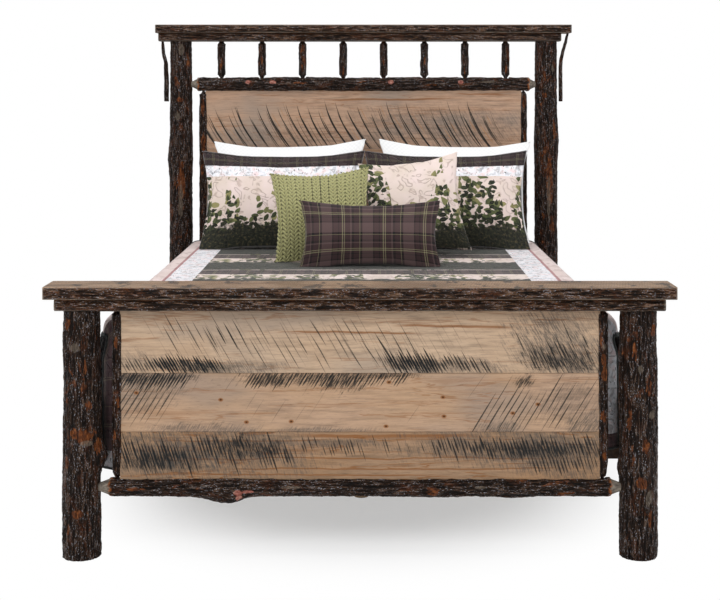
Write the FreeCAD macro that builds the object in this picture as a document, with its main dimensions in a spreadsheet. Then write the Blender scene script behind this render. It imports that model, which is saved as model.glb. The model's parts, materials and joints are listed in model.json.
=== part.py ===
import FreeCAD, Part
import os
import re
import Sketcher
from FreeCAD import Placement, Rotation, Vector

# Rustic log bed for a mattress 1524 by 2032 mm, in mm, +Z up. The origin is on the floor in the middle of the
# bed, the footboard stands at -Y and the headboard at +Y. Posts and rails are round logs with turned tenons, the
# panels are sawn planks let into grooves, and each board carries two slabs on top.

doc = FreeCAD.newDocument("RusticLogBed")
sheet = doc.addObject("Spreadsheet::Sheet", "Sizes")

# Driving dimensions.
SIZES = (
    ("mattress_width", 1524),
    ("mattress_length", 2032),
    ("mattress_height", 240),
    ("mattress_corner_radius", 60),
    ("mattress_edge_radius", 40),
    ("box_spring_height", 130),
    ("box_spring_edge_radius", 12),
    # play between mattress and side rail, from rail to post axis, from mattress end to the middle of a board
    ("rail_gap", 8),
    ("rail_inset", 40),
    ("board_gap", 49),
    # fits
    ("fit_gap", 0.3),
    ("end_gap", 0.5),
    ("overrun", 20),
    # posts: each rise is from the top of the quilt to the top of the log
    ("foot_post_diameter", 108),
    ("foot_rise", 25.6),
    ("head_post_diameter", 100),
    ("head_rise", 875.6),
    ("post_tenon_diameter", 38),
    ("post_tenon_length", 24),
    ("foot_flat_depth", 18),
    ("head_flat_depth", 20),
    # slabs on top of head and foot
    ("cap_depth", 141),
    ("cap_thickness", 36),
    ("cap_bulge", 7),
    ("subcap_depth", 97),
    ("subcap_thickness", 36),
    ("subcap_bulge", 14),
    # how far a slab reaches past the axis of the post under it
    ("foot_cap_overhang", 100),
    ("head_cap_overhang", 105),
    ("foot_subcap_overhang", 70),
    ("head_subcap_overhang_left", 93.5),
    ("head_subcap_overhang_right", 61.5),
    # log rails
    ("foot_rail_diameter", 53),
    ("foot_rail_height", 200),
    ("mid_rail_diameter", 60),
    ("mid_rail_drop", 190),
    ("head_rail_diameter", 60),
    ("head_rail_height", 440),
    ("rail_shoulder", 25),
    ("rail_cone_length", 22),
    ("rail_tenon_diameter", 28),
    ("rail_tenon_depth", 42),
    # pole stiles and spindles
    ("foot_stile_diameter", 32),
    ("head_stile_diameter", 35),
    ("stile_inset", 25),
    ("stile_tenon_diameter", 10),
    ("stile_tenon_length", 16),
    ("stile_cone_length", 14),
    ("spindle_diameter", 34),
    ("spindle_cone_length", 11),
    ("spindle_tenon_diameter", 15.5),
    ("spindle_tenon_length", 18),
    # planks
    ("plank_thickness", 19),
    ("plank_groove", 8),
    ("plank_gap", 0.8),
    ("plank_bevel", 1.5),
    # twigs
    ("twig_diameter", 18),
    ("twig_reach", 266),
    ("twig_stand_off", 6),
    # side rails, ledgers, slats and the middle beam
    ("rail_board_thickness", 38),
    ("rail_board_height", 190),
    ("rail_board_bottom", 250),
    ("rail_board_radius", 4),
    ("cleat_width", 38),
    ("cleat_height", 32),
    ("cleat_bottom", 262),
    ("cleat_end_gap", 36),
    ("slat_thickness", 19),
    ("slat_width", 89),
    ("slat_margin", 71),
    ("slat_side_gap", 2),
    ("beam_width", 38),
    ("beam_height", 64),
    ("centre_foot_diameter", 50),
    ("centre_foot_tenon_diameter", 25),
    ("centre_foot_tenon_length", 30),
    # hook plates
    ("plate_height", 110),
    ("plate_width", 30),
    ("plate_thickness", 3),
    ("hook_width", 5),
    ("hook_height", 12),
    ("hook_lip_drop", 8),
    ("hook_lip_thickness", 4),
    ("hook_pitch", 60),
    ("plate_screw_pitch", 97),
    # screws
    ("screw_diameter", 5),
    ("screw_head_diameter", 9.5),
    ("screw_head_height", 2.6),
    ("cap_screw_length", 55),
    ("cap_screw_offset", 34),
    ("cleat_screw_length", 60),
    ("slat_screw_length", 40),
    ("hook_screw_length", 30),
    # quilt
    ("quilt_thickness", 9),
    ("quilt_gap", 0.4),
    ("quilt_hood_height", 48),
    ("quilt_side_hem_height", 270),
    ("quilt_foot_hem_left", 240),
    ("quilt_foot_hem_right", 300),
    ("quilt_fold_depth", 18),
    ("quilt_foot_fold_depth", 7),
    ("quilt_head_margin", 24),
    # pillows
    ("white_pillow_width", 660),
    ("white_pillow_height", 460),
    ("white_pillow_thickness", 150),
    ("white_pillow_setback", 176),
    ("sham_width", 690),
    ("sham_height", 447),
    ("sham_thickness", 160),
    ("sham_setback", 400),
    ("throw_width", 405),
    ("throw_height", 400),
    ("throw_thickness", 140),
    ("throw_setback", 650),
    ("knitted_width", 390),
    ("knitted_height", 364),
    ("knitted_thickness", 130),
    ("knitted_setback", 818),
    ("lumbar_width", 532),
    ("lumbar_height", 268),
    ("lumbar_thickness", 110),
    ("lumbar_setback", 964),
    ("pillow_spacing", 690),
    ("pillow_shift", 39),
    ("throw_place", 205),
    ("knitted_place", 156),
    ("lumbar_place", 30),
    ("sham_shift", 6),
    ("white_pillow_outset", 12),
    ("pillow_sink", 12),
    ("pillow_side_draw", 14),
)

# Places that several pieces share, written in the driving dimensions.
POST_X = "(mattress_width / 2 + rail_gap + rail_inset)"
BOARD_Y = "(mattress_length / 2 + board_gap)"
PLANK_SLOT = "(plank_thickness + 2 * fit_gap)"
SLAT_TOP = "(cleat_bottom + cleat_height + slat_thickness)"
MATTRESS_BOTTOM = f"({SLAT_TOP} + box_spring_height)"
MATTRESS_TOP = f"({MATTRESS_BOTTOM} + mattress_height)"
QUILT_TOP = f"({MATTRESS_TOP} + quilt_gap + quilt_thickness)"
RAIL_X = f"({POST_X} - rail_inset + rail_board_thickness / 2)"
RAIL_MIDDLE = "(rail_board_bottom + rail_board_height / 2)"
BEAM_LENGTH = "(mattress_length - 2 * slat_margin)"

# Sizes that follow from others: the boards stand by so much above the bed as it is made up.
DERIVED = (
    ("foot_post_height", f"={QUILT_TOP} + foot_rise"),
    ("head_post_height", f"={QUILT_TOP} + head_rise"),
    ("mid_rail_height", "=head_post_height - mid_rail_drop"),
)

for row, (alias, content) in enumerate(SIZES + DERIVED, start=1):
    sheet.set(f"A{row}", alias)
    sheet.set(f"B{row}", str(content))
    sheet.setAlias(f"B{row}", alias)
doc.recompute()
ALIASES = {alias for alias, content in SIZES + DERIVED}

SIDES = (("left", -1), ("right", 1))


def value(text):
    return float(sheet.evalExpression(str(text)))


def bind(thing, prop, text):
    words = re.sub(r"[a-z_][a-z0-9_]*", lambda word: spelled_out(word.group()), str(text))
    thing.setExpression(prop, words)


def spelled_out(word):
    return f"Sizes.{word}" if word in ALIASES else word


def place(thing, base, rotation=Rotation()):
    thing.Placement = Placement(Vector(*(value(text) for text in base)), rotation)
    for axis, text in zip("xyz", base):
        bind(thing, f".Placement.Base.{axis}", text)


def origin_plane(body, role):
    return next(plane for plane in body.Origin.OriginFeatures if plane.Role == role)


def section_sketch(body, name, along, across="0", aside="0", turn=Rotation()):
    sketch = body.newObject("Sketcher::SketchObject", name)
    sketch.AttachmentSupport = [(origin_plane(body, "XY_Plane"), "")]
    sketch.MapMode = "FlatFace"
    sketch.AttachmentOffset = Placement(Vector(), turn)
    for axis, text in zip("xyz", (across, aside, along)):
        bind(sketch, f".AttachmentOffset.Base.{axis}", text)
    return sketch


def constrain(sketch, constraint, text=None):
    index = sketch.addConstraint(constraint)
    if text is not None:
        bind(sketch, f"Constraints[{index}]", text)


UP_LOCAL_X = Rotation(Vector(0, 1, 0), -90)
DOWN_LOCAL_Z = Rotation(Vector(1, 0, 0), 180)
ALONG_X = Rotation(Vector(0, 1, 0), 90)
AGAINST_X = Rotation(Vector(0, 1, 0), -90)
ALONG_Y = Rotation(Vector(1, 0, 0), -90)
AGAINST_Y = Rotation(Vector(1, 0, 0), 90)


# The rings are turned, so that the seam of a log's surface stays clear of its bores and grooves.
SEAM_DEGREES = 37
SEAM_TURN = Rotation(Vector(0, 0, 1), SEAM_DEGREES)


# A log is lofted through rings along its own Z. Each ring has its share of the length, of the radius, and how far
# it wanders off the axis as shares of the radius, because a natural log is never straight or even.
def log_body(label, length, diameter, ring_shares):
    body = doc.addObject("PartDesign::Body", label)
    rings = []
    for number, (along, girth, across, aside) in enumerate(ring_shares):
        ring = section_sketch(body, f"{label}_ring_{number}", f"{length} * {along}",
                              f"{diameter} / 2 * {across}", f"{diameter} / 2 * {aside}", SEAM_TURN)
        radius = f"{diameter} / 2 * {girth}"
        ring.addGeometry(Part.Circle(Vector(), Vector(0, 0, 1), value(radius)), False)
        constrain(ring, Sketcher.Constraint("Coincident", 0, 3, -1, 1))
        constrain(ring, Sketcher.Constraint("Radius", 0, value(radius)), radius)
        rings.append(ring)
    loft = body.newObject("PartDesign::AdditiveLoft", f"{label}_log")
    loft.Profile = rings[0]
    loft.Sections = rings[1:]
    loft.Ruled = True
    return body


def add_pin(body, name, base, rotation, diameter, length):
    pin = body.newObject("PartDesign::AdditiveCylinder", name)
    place(pin, base, rotation)
    bind(pin, "Radius", f"{diameter} / 2")
    bind(pin, "Height", length)


def add_cone(body, name, base, rotation, wide, narrow, length):
    cone = body.newObject("PartDesign::AdditiveCone", name)
    place(cone, base, rotation)
    bind(cone, "Radius1", f"{wide} / 2")
    bind(cone, "Radius2", f"{narrow} / 2")
    bind(cone, "Height", length)


def drill(body, name, base, rotation, diameter, length):
    hole = body.newObject("PartDesign::SubtractiveCylinder", name)
    place(hole, base, rotation)
    bind(hole, "Radius", f"{diameter} / 2")
    bind(hole, "Height", length)


def notch(body, name, base, size):
    slot = body.newObject("PartDesign::SubtractiveBox", name)
    place(slot, base)
    for prop, text in zip(("Length", "Width", "Height"), size):
        bind(slot, prop, text)


# Both ends of a log: a pointed shoulder cut through the bark, then a round tenon on the log's axis.
CONE_SHARE = 0.84


def tenon_both_ends(body, label, length, diameter, cone, tenon_diameter, tenon_length):
    ends = (("start", "0", f"-({cone})", DOWN_LOCAL_Z), ("end", length, f"{length} + {cone}", Rotation()))
    for end, shoulder, root, rotation in ends:
        add_cone(body, f"{label}_shoulder_{end}", ("0", "0", shoulder), rotation,
                 f"{diameter} * {CONE_SHARE}", tenon_diameter, cone)
        add_pin(body, f"{label}_tenon_{end}", ("0", "0", root), rotation, tenon_diameter, tenon_length)


# A slab is lofted along its own Z through sections with flat faces and rounded bark edges. Its own X is up.
def slab_body(label, length, depth, thickness, bulge, section_shares):
    body = doc.addObject("PartDesign::Body", label)
    sections = []
    edge_radius = f"(({thickness} / 2) ^ 2 + {bulge} ^ 2) / (2 * {bulge})"
    for number, (along, width, aside) in enumerate(section_shares):
        sketch = section_sketch(body, f"{label}_section_{number}", f"{length} * {along}", "0",
                                f"{depth} * {aside}")
        full_width = f"{depth} * {width}"
        half_width = value(full_width) / 2
        half_thickness = value(thickness) / 2
        reach = half_width + value(bulge)
        corners = [Vector(half_thickness, -half_width, 0), Vector(half_thickness, half_width, 0),
                   Vector(-half_thickness, half_width, 0), Vector(-half_thickness, -half_width, 0)]
        sketch.addGeometry(Part.LineSegment(corners[0], corners[1]), False)
        sketch.addGeometry(Part.Arc(corners[1], Vector(0, reach, 0), corners[2]), False)
        sketch.addGeometry(Part.LineSegment(corners[2], corners[3]), False)
        sketch.addGeometry(Part.Arc(corners[3], Vector(0, -reach, 0), corners[0]), False)
        for first in range(4):
            constrain(sketch, Sketcher.Constraint("Coincident", first, 2, (first + 1) % 4, 1))
        constrain(sketch, Sketcher.Constraint("Symmetric", 0, 1, 0, 2, -1))
        constrain(sketch, Sketcher.Constraint("Symmetric", 0, 1, 2, 2, -2))
        constrain(sketch, Sketcher.Constraint("Symmetric", 0, 2, 2, 1, -2))
        constrain(sketch, Sketcher.Constraint("DistanceY", 0, 1, 0, 2, 2 * half_width), full_width)
        constrain(sketch, Sketcher.Constraint("DistanceX", 2, 2, 0, 1, 2 * half_thickness), thickness)
        constrain(sketch, Sketcher.Constraint("Radius", 1, value(edge_radius)), edge_radius)
        constrain(sketch, Sketcher.Constraint("Equal", 1, 3))
        sections.append(sketch)
    loft = body.newObject("PartDesign::AdditiveLoft", f"{label}_slab")
    loft.Profile = sections[0]
    loft.Sections = sections[1:]
    loft.Ruled = True
    return body


# A sawn board stands on its own XY plane, in the middle of its length and thickness, and is as high as its width.
def board_body(label, length, thickness, height):
    body = doc.addObject("PartDesign::Body", label)
    sketch = section_sketch(body, f"{label}_outline", "0")
    half_length = value(length) / 2
    half_thickness = value(thickness) / 2
    corners = [Vector(-half_length, -half_thickness, 0), Vector(half_length, -half_thickness, 0),
               Vector(half_length, half_thickness, 0), Vector(-half_length, half_thickness, 0)]
    for first in range(4):
        sketch.addGeometry(Part.LineSegment(corners[first], corners[(first + 1) % 4]), False)
    for first in range(4):
        constrain(sketch, Sketcher.Constraint("Coincident", first, 2, (first + 1) % 4, 1))
    for side, direction in enumerate(("Horizontal", "Vertical", "Horizontal", "Vertical")):
        constrain(sketch, Sketcher.Constraint(direction, side))
    constrain(sketch, Sketcher.Constraint("Symmetric", 0, 1, 1, 2, -1, 1))
    constrain(sketch, Sketcher.Constraint("DistanceX", 0, 1, 0, 2, 2 * half_length), length)
    constrain(sketch, Sketcher.Constraint("DistanceY", 1, 1, 1, 2, 2 * half_thickness), thickness)
    pad = body.newObject("PartDesign::Pad", f"{label}_board")
    pad.Profile = sketch
    bind(pad, "Length", height)
    return body


ALIGNED_SHARE = 0.999


def edges_along(shape, axis):
    names = []
    for number, edge in enumerate(shape.Edges, start=1):
        ends = [vertex.Point for vertex in edge.Vertexes]
        if len(ends) == 2 and abs((ends[1] - ends[0]).normalize().dot(axis)) > ALIGNED_SHARE:
            names.append(f"Edge{number}")
    return names


def ease_edges(body, name, kind, prop, text, axis):
    doc.recompute()
    base = body.Tip
    ease = body.newObject(f"PartDesign::{kind}", name)
    ease.Base = (base, edges_along(base.Shape, axis))
    bind(ease, prop, text)


def rail_half(post_diameter):
    return f"({POST_X} - {post_diameter} / 2 - rail_shoulder)"


FOOT_RAIL_HALF = rail_half("foot_post_diameter")
HEAD_RAIL_HALF = rail_half("head_post_diameter")
RAIL_TENON_LENGTH = "(rail_shoulder - rail_cone_length + rail_tenon_depth)"
TENON_BORE = "(rail_tenon_diameter + 2 * fit_gap)"


# Posts: round logs that stand on the floor, with a tenon on top, a bore for each rail tenon, a flat where the
# side rail butts, and behind that flat the recess of the slotted plate and two pockets for the hooks.
def post(label, side, end, diameter, height, flat_depth, rail_heights, ring_shares):
    body = log_body(label, height, diameter, ring_shares)
    inward = -end
    place(body, (f"{side} * {POST_X}", f"{end} * {BOARD_Y}", "0"))
    add_pin(body, f"{label}_top_tenon", ("0", "0", f"{height} - overrun"), Rotation(), "post_tenon_diameter",
            "post_tenon_length + overrun")
    for number, rail_height in enumerate(rail_heights):
        bore_end = f"({diameter} / 2 - rail_tenon_depth - end_gap)"
        drill(body, f"{label}_bore_{number}", (f"{-side} * {bore_end}", "0", rail_height),
              ALONG_X if side < 0 else AGAINST_X, TENON_BORE, "rail_tenon_depth + overrun")
    flat = f"({diameter} / 2 - {flat_depth})"
    plate_x = f"{side} * (rail_board_thickness / 2 - rail_inset)"

    def cut(name, depth_from, depth, middle_x, width, bottom, tall):
        near = f"{inward} * {depth_from}" if inward > 0 else f"-({depth_from} + {depth})"
        notch(body, f"{label}_{name}", (f"{middle_x} - {width} / 2", near, bottom), (width, depth, tall))

    cut("rail_flat", flat, f"({flat_depth} + overrun)", "0", f"({diameter} + overrun)",
        "rail_board_bottom - end_gap", "rail_board_height + 2 * end_gap")
    cut("plate_recess", f"({flat} - plate_thickness)", "(plate_thickness + overrun)", plate_x,
        "(plate_width + 2 * fit_gap)", f"{RAIL_MIDDLE} - plate_height / 2 - fit_gap",
        "plate_height + 2 * fit_gap")
    pocket_depth = "(plate_thickness + hook_lip_thickness + 2 * end_gap)"
    for number, level in enumerate((-1, 1)):
        cut(f"hook_pocket_{number}", f"({flat} - {pocket_depth})", pocket_depth, plate_x,
            "(hook_width + 4 * end_gap)",
            f"{RAIL_MIDDLE} + {level} * hook_pitch / 2 - hook_height / 2 - hook_lip_drop - end_gap",
            "2 * hook_height + hook_lip_drop + 2 * end_gap")
        drill(body, f"{label}_screw_bore_{number}",
              (plate_x, f"{inward} * ({flat} - hook_screw_length - end_gap)",
               f"{RAIL_MIDDLE} + {level} * plate_screw_pitch / 2"),
              ALONG_Y if inward > 0 else AGAINST_Y, "screw_diameter + 2 * fit_gap", "hook_screw_length + overrun")
    return body


FOOT_POST_SHARES = {
    "left": ((0, 1.0, 0, 0), (0.04, 1.03, 0, 0), (0.3, 1.0, -0.02, 0.02), (0.62, 0.99, 0.02, 0),
             (0.85, 0.96, 0.01, -0.01), (1, 0.95, 0, 0)),
    "right": ((0, 0.98, 0, 0), (0.05, 1.02, 0.01, 0), (0.34, 1.0, 0.02, -0.02), (0.6, 1.02, 0, 0),
              (0.84, 0.98, -0.02, 0.01), (1, 0.96, 0, 0)),
}
HEAD_POST_SHARES = {
    "left": ((0, 1.04, 0, 0), (0.2, 1.02, -0.02, 0.02), (0.45, 1.0, 0.02, 0), (0.6, 0.98, 0, 0),
             (0.665, 1.07, -0.02, -0.02), (0.74, 0.98, 0.02, 0), (0.9, 0.95, 0.02, 0.01), (1, 0.92, 0, 0)),
    "right": ((0, 1.04, 0, 0), (0.22, 1.03, 0.02, 0), (0.48, 0.98, 0, 0.02), (0.64, 1.0, -0.01, 0),
              (0.72, 1.06, 0.02, -0.02), (0.79, 0.97, 0, 0), (0.93, 0.96, -0.01, 0), (1, 0.93, 0, 0)),
}

for side_name, side in SIDES:
    post(f"footboard_post_{side_name}", side, -1, "foot_post_diameter", "foot_post_height", "foot_flat_depth",
         ("foot_rail_height",), FOOT_POST_SHARES[side_name])
    post(f"headboard_post_{side_name}", side, 1, "head_post_diameter", "head_post_height", "head_flat_depth",
         ("mid_rail_height", "head_rail_height"), HEAD_POST_SHARES[side_name])


# Log rails: they lie along X with their own X up, and their own Z runs from the right end to the left.
def log_rail(label, end, half, diameter, height, ring_shares):
    length = f"(2 * {half})"
    body = log_body(label, length, diameter, ring_shares)
    place(body, (half, f"{end} * {BOARD_Y}", height), UP_LOCAL_X)
    tenon_both_ends(body, label, length, diameter, "rail_cone_length", "rail_tenon_diameter",
                    RAIL_TENON_LENGTH)
    return body


# The groove in a log rail that takes the planks, in its top (1) or its underside (-1), and a mortise at each end
# of the groove for a stile.
def panel_groove(body, label, half, diameter, plank_lap, facing):
    floor = f"({diameter} / 2 - plank_groove)"
    start = f"{floor}" if facing > 0 else f"-({floor} + plank_groove + overrun)"
    stile_run = f"(stile_inset - {plank_lap})"
    notch(body, f"{label}_groove", (start, f"-{PLANK_SLOT} / 2", stile_run),
          ("plank_groove + overrun", PLANK_SLOT, f"2 * ({half} - {stile_run})"))
    mortise_floor = f"{facing} * ({diameter} / 2 - stile_tenon_length - end_gap)"
    for number, along in enumerate(("stile_inset", f"2 * {half} - stile_inset")):
        drill(body, f"{label}_mortise_{number}", (mortise_floor, "0", along),
              ALONG_X if facing > 0 else AGAINST_X, "stile_tenon_diameter + 2 * fit_gap",
              "stile_tenon_length + overrun")


# How far the planks run past the axis of a stile towards its middle, so that they end inside its groove.
FOOT_PLANK_LAP = "(plank_groove - foot_stile_diameter / 2)"
HEAD_PLANK_LAP = "(plank_groove - head_stile_diameter / 2)"

FOOT_RAIL_SHARES = ((0, 1.0, 0, 0), (0.12, 0.98, 0, 0.03), (0.33, 1.04, -0.03, 0), (0.5, 0.98, 0, -0.03),
                    (0.7, 1.0, 0.02, 0), (0.76, 1.07, -0.05, 0), (0.88, 0.98, 0, 0.02), (1, 0.98, 0, 0))
MID_RAIL_SHARES = ((0, 0.98, 0, 0), (0.16, 1.0, 0.02, 0.03), (0.37, 1.04, 0, 0), (0.52, 1.0, -0.03, 0),
                   (0.68, 1.03, 0.02, -0.02), (0.86, 1.0, -0.02, 0), (1, 1.0, 0, 0))
HEAD_RAIL_SHARES = ((0, 1.0, 0, 0), (0.3, 1.02, 0.02, -0.02), (0.65, 0.98, -0.02, 0.02), (1, 0.98, 0, 0))

foot_rail = log_rail("footboard_lower_rail", -1, FOOT_RAIL_HALF, "foot_rail_diameter", "foot_rail_height",
                     FOOT_RAIL_SHARES)
panel_groove(foot_rail, "footboard_lower_rail", FOOT_RAIL_HALF, "foot_rail_diameter", FOOT_PLANK_LAP, 1)
mid_rail = log_rail("headboard_mid_rail", 1, HEAD_RAIL_HALF, "mid_rail_diameter", "mid_rail_height",
                    MID_RAIL_SHARES)
panel_groove(mid_rail, "headboard_mid_rail", HEAD_RAIL_HALF, "mid_rail_diameter", HEAD_PLANK_LAP, -1)
head_rail = log_rail("headboard_lower_rail", 1, HEAD_RAIL_HALF, "head_rail_diameter", "head_rail_height",
                     HEAD_RAIL_SHARES)
panel_groove(head_rail, "headboard_lower_rail", HEAD_RAIL_HALF, "head_rail_diameter", HEAD_PLANK_LAP, 1)

# Spindles: eight slim poles between the mid rail and the slab above, evenly spaced along the mid rail.
SPINDLE_COUNT = 8
SPINDLE_PITCH_SHARE = 0.245
SPINDLE_PITCH = f"({HEAD_RAIL_HALF} * {SPINDLE_PITCH_SHARE})"
SPINDLE_SPACE = "(head_post_height - mid_rail_height - mid_rail_diameter / 2)"
SPINDLE_LENGTH = f"({SPINDLE_SPACE} - 2 * spindle_cone_length - end_gap)"
SPINDLE_SHARES = (
    ((0, 0.98, 0, 0), (0.35, 0.98, 0.04, 0), (0.7, 1.0, -0.03, 0), (1, 0.99, 0, 0)),
    ((0, 1.0, 0, 0), (0.4, 1.02, -0.04, 0), (0.75, 0.98, 0.03, 0), (1, 0.98, 0, 0)),
)
SPINDLE_CLEARANCE = "(end_gap / 2)"

for number in range(SPINDLE_COUNT):
    steps = number - (SPINDLE_COUNT - 1) / 2
    label = f"headboard_spindle_{number + 1}"
    spindle = log_body(label, SPINDLE_LENGTH, "spindle_diameter", SPINDLE_SHARES[number % 2])
    place(spindle, (f"{steps} * {SPINDLE_PITCH}", BOARD_Y,
                    f"mid_rail_height + mid_rail_diameter / 2 + spindle_cone_length + {SPINDLE_CLEARANCE}"))
    tenon_both_ends(spindle, label, SPINDLE_LENGTH, "spindle_diameter", "spindle_cone_length",
                    "spindle_tenon_diameter", "spindle_tenon_length")
    drill(mid_rail, f"headboard_mid_rail_spindle_bore_{number}",
          ("mid_rail_diameter / 2 - spindle_tenon_length - end_gap", "0",
           f"{HEAD_RAIL_HALF} - {steps} * {SPINDLE_PITCH}"),
          ALONG_X, "spindle_tenon_diameter + 2 * fit_gap", "spindle_tenon_length + overrun")


# Stiles: thin poles at both ends of a panel, grooved on the side that faces the planks.
STILE_SHARES = {
    "footboard_stile_left": ((0, 0.86, 0, 0), (0.12, 1.0, 0, 0), (0.5, 0.98, 0.04, 0), (1, 1.0, 0, 0)),
    "footboard_stile_right": ((0, 0.84, 0, 0), (0.15, 1.0, 0.03, 0), (0.6, 1.03, -0.03, 0), (1, 0.98, 0, 0)),
    "headboard_stile_left": ((0, 1.0, 0, 0), (0.4, 1.05, 0.03, 0), (0.9, 1.1, 0, 0), (1, 0.96, 0, 0)),
    "headboard_stile_right": ((0, 0.96, 0, 0), (0.45, 0.92, -0.03, 0), (0.9, 0.9, 0, 0), (1, 0.82, 0, 0)),
}


def stile(label, side, end, half, diameter, bottom, top):
    length = f"({top} - {bottom} - 2 * fit_gap)"
    trunk = f"({length} - 2 * stile_cone_length)"
    body = log_body(label, trunk, diameter, STILE_SHARES[label])
    place(body, (f"{side} * ({half} - stile_inset)", f"{end} * {BOARD_Y}",
                 f"{bottom} + stile_cone_length + fit_gap"))
    tenon_both_ends(body, label, trunk, diameter, "stile_cone_length", "stile_tenon_diameter",
                    "stile_tenon_length")
    floor = f"({diameter} / 2 - plank_groove - end_gap)"
    depth = "(plank_groove + end_gap + overrun)"
    start = floor if side < 0 else f"-({floor} + {depth})"
    notch(body, f"{label}_groove", (start, f"-{PLANK_SLOT} / 2", "-(stile_cone_length + stile_tenon_length)"),
          (depth, PLANK_SLOT, f"{length} + 2 * stile_tenon_length"))


FOOT_PANEL_BOTTOM = "(foot_rail_height + foot_rail_diameter / 2)"
HEAD_PANEL_BOTTOM = "(head_rail_height + head_rail_diameter / 2)"
HEAD_PANEL_TOP = "(mid_rail_height - mid_rail_diameter / 2)"

for side_name, side in SIDES:
    stile(f"footboard_stile_{side_name}", side, -1, FOOT_RAIL_HALF, "foot_stile_diameter", FOOT_PANEL_BOTTOM,
          "foot_post_height")
    stile(f"headboard_stile_{side_name}", side, 1, HEAD_RAIL_HALF, "head_stile_diameter", HEAD_PANEL_BOTTOM,
          HEAD_PANEL_TOP)

# Panels: rough-sawn planks stacked from the bottom up, each with eased long edges. Their heights are shares of
# the whole panel.
FOOT_PLANK_SHARES = (0.281, 0.337, 0.382)
HEAD_PLANK_SHARES = (0.235, 0.235, 0.235, 0.295)


def panel(board, end, half, stile_diameter, bottom, top, height_shares):
    length = f"(2 * ({half} - stile_inset - {stile_diameter} / 2 + plank_groove) - 2 * end_gap)"
    panel_height = f"({top} - {bottom} + 2 * plank_groove - 2 * end_gap)"
    for number, share in enumerate(height_shares):
        below = sum(height_shares[:number])
        label = f"{board}_plank_{number + 1}"
        plank = board_body(label, length, "plank_thickness", f"{panel_height} * {share} - plank_gap")
        place(plank, ("0", f"{end} * {BOARD_Y}",
                      f"{bottom} - plank_groove + end_gap + {panel_height} * {below} + plank_gap / 2"))
        ease_edges(plank, f"{label}_bevel", "Chamfer", "Size", "plank_bevel", Vector(1, 0, 0))


panel("footboard", -1, FOOT_RAIL_HALF, "foot_stile_diameter", FOOT_PANEL_BOTTOM, "foot_post_height",
      FOOT_PLANK_SHARES)
panel("headboard", 1, HEAD_RAIL_HALF, "head_stile_diameter", HEAD_PANEL_BOTTOM, HEAD_PANEL_TOP,
      HEAD_PLANK_SHARES)

# Slabs on top: the sub-cap takes the post tenons and what stands under it, and the cap is screwed down on it.
SLAB_SHARES = ((0, 0.94, 0), (0.006, 0.97, 0), (0.1, 1.0, 0.01), (0.28, 0.96, -0.01), (0.5, 0.99, 0.01),
               (0.74, 0.95, 0), (0.9, 1.0, -0.01), (0.994, 0.97, 0), (1, 0.94, 0))
CAP_SCREW_SHARES = (-0.78, -0.26, 0.26, 0.78)
BOARDS = (
    ("footboard", -1, "foot_post_height", "foot_cap_overhang", "foot_subcap_overhang", "foot_subcap_overhang",
     FOOT_RAIL_HALF),
    ("headboard", 1, "head_post_height", "head_cap_overhang", "head_subcap_overhang_left",
     "head_subcap_overhang_right", HEAD_RAIL_HALF),
)

for board, end, bottom, cap_overhang, left_overhang, right_overhang, half in BOARDS:
    subcap_length = f"(2 * {POST_X} + {left_overhang} + {right_overhang})"
    subcap = slab_body(f"{board}_subcap", subcap_length, "subcap_depth", "subcap_thickness", "subcap_bulge",
                       SLAB_SHARES)
    subcap_end = f"({POST_X} + {right_overhang})"
    place(subcap, (subcap_end, f"{end} * {BOARD_Y}", f"{bottom} + subcap_thickness / 2"), UP_LOCAL_X)
    cap_end = f"({POST_X} + {cap_overhang})"
    cap = slab_body(f"{board}_cap", f"(2 * {cap_end})", "cap_depth", "cap_thickness", "cap_bulge", SLAB_SHARES)
    place(cap, (cap_end, f"{end} * {BOARD_Y}", f"{bottom} + subcap_thickness + cap_thickness / 2"), UP_LOCAL_X)
    underside = "-(subcap_thickness / 2 + overrun)"
    for side_name, side in SIDES:
        drill(subcap, f"{board}_subcap_post_mortise_{side_name}",
              (underside, "0", f"{subcap_end} - {side} * {POST_X}"), ALONG_X,
              "post_tenon_diameter + 2 * fit_gap", "overrun + post_tenon_length + end_gap")
    for number, share in enumerate(CAP_SCREW_SHARES):
        for row, offset in (("front", -1), ("back", 1)):
            drill(subcap, f"{board}_subcap_screw_bore_{row}_{number}",
                  (underside, f"{offset} * cap_screw_offset", f"{subcap_end} - {share} * {half}"), ALONG_X,
                  "screw_diameter + 2 * fit_gap", "subcap_thickness + 2 * overrun")
            head_sink = subcap.newObject("PartDesign::SubtractiveCone",
                                         f"{board}_subcap_countersink_{row}_{number}")
            place(head_sink, ("-subcap_thickness / 2", f"{offset} * cap_screw_offset",
                              f"{subcap_end} - {share} * {half}"), ALONG_X)
            bind(head_sink, "Radius1", "screw_head_diameter / 2 + fit_gap")
            bind(head_sink, "Radius2", "screw_diameter / 2 + fit_gap")
            bind(head_sink, "Height", "screw_head_height")
            drill(cap, f"{board}_cap_screw_bore_{row}_{number}",
                  ("-(cap_thickness / 2 + overrun)", f"{offset} * cap_screw_offset",
                   f"{cap_end} - {share} * {half}"), ALONG_X, "screw_diameter + 2 * fit_gap",
                  "overrun + cap_screw_length - subcap_thickness + end_gap")

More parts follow.
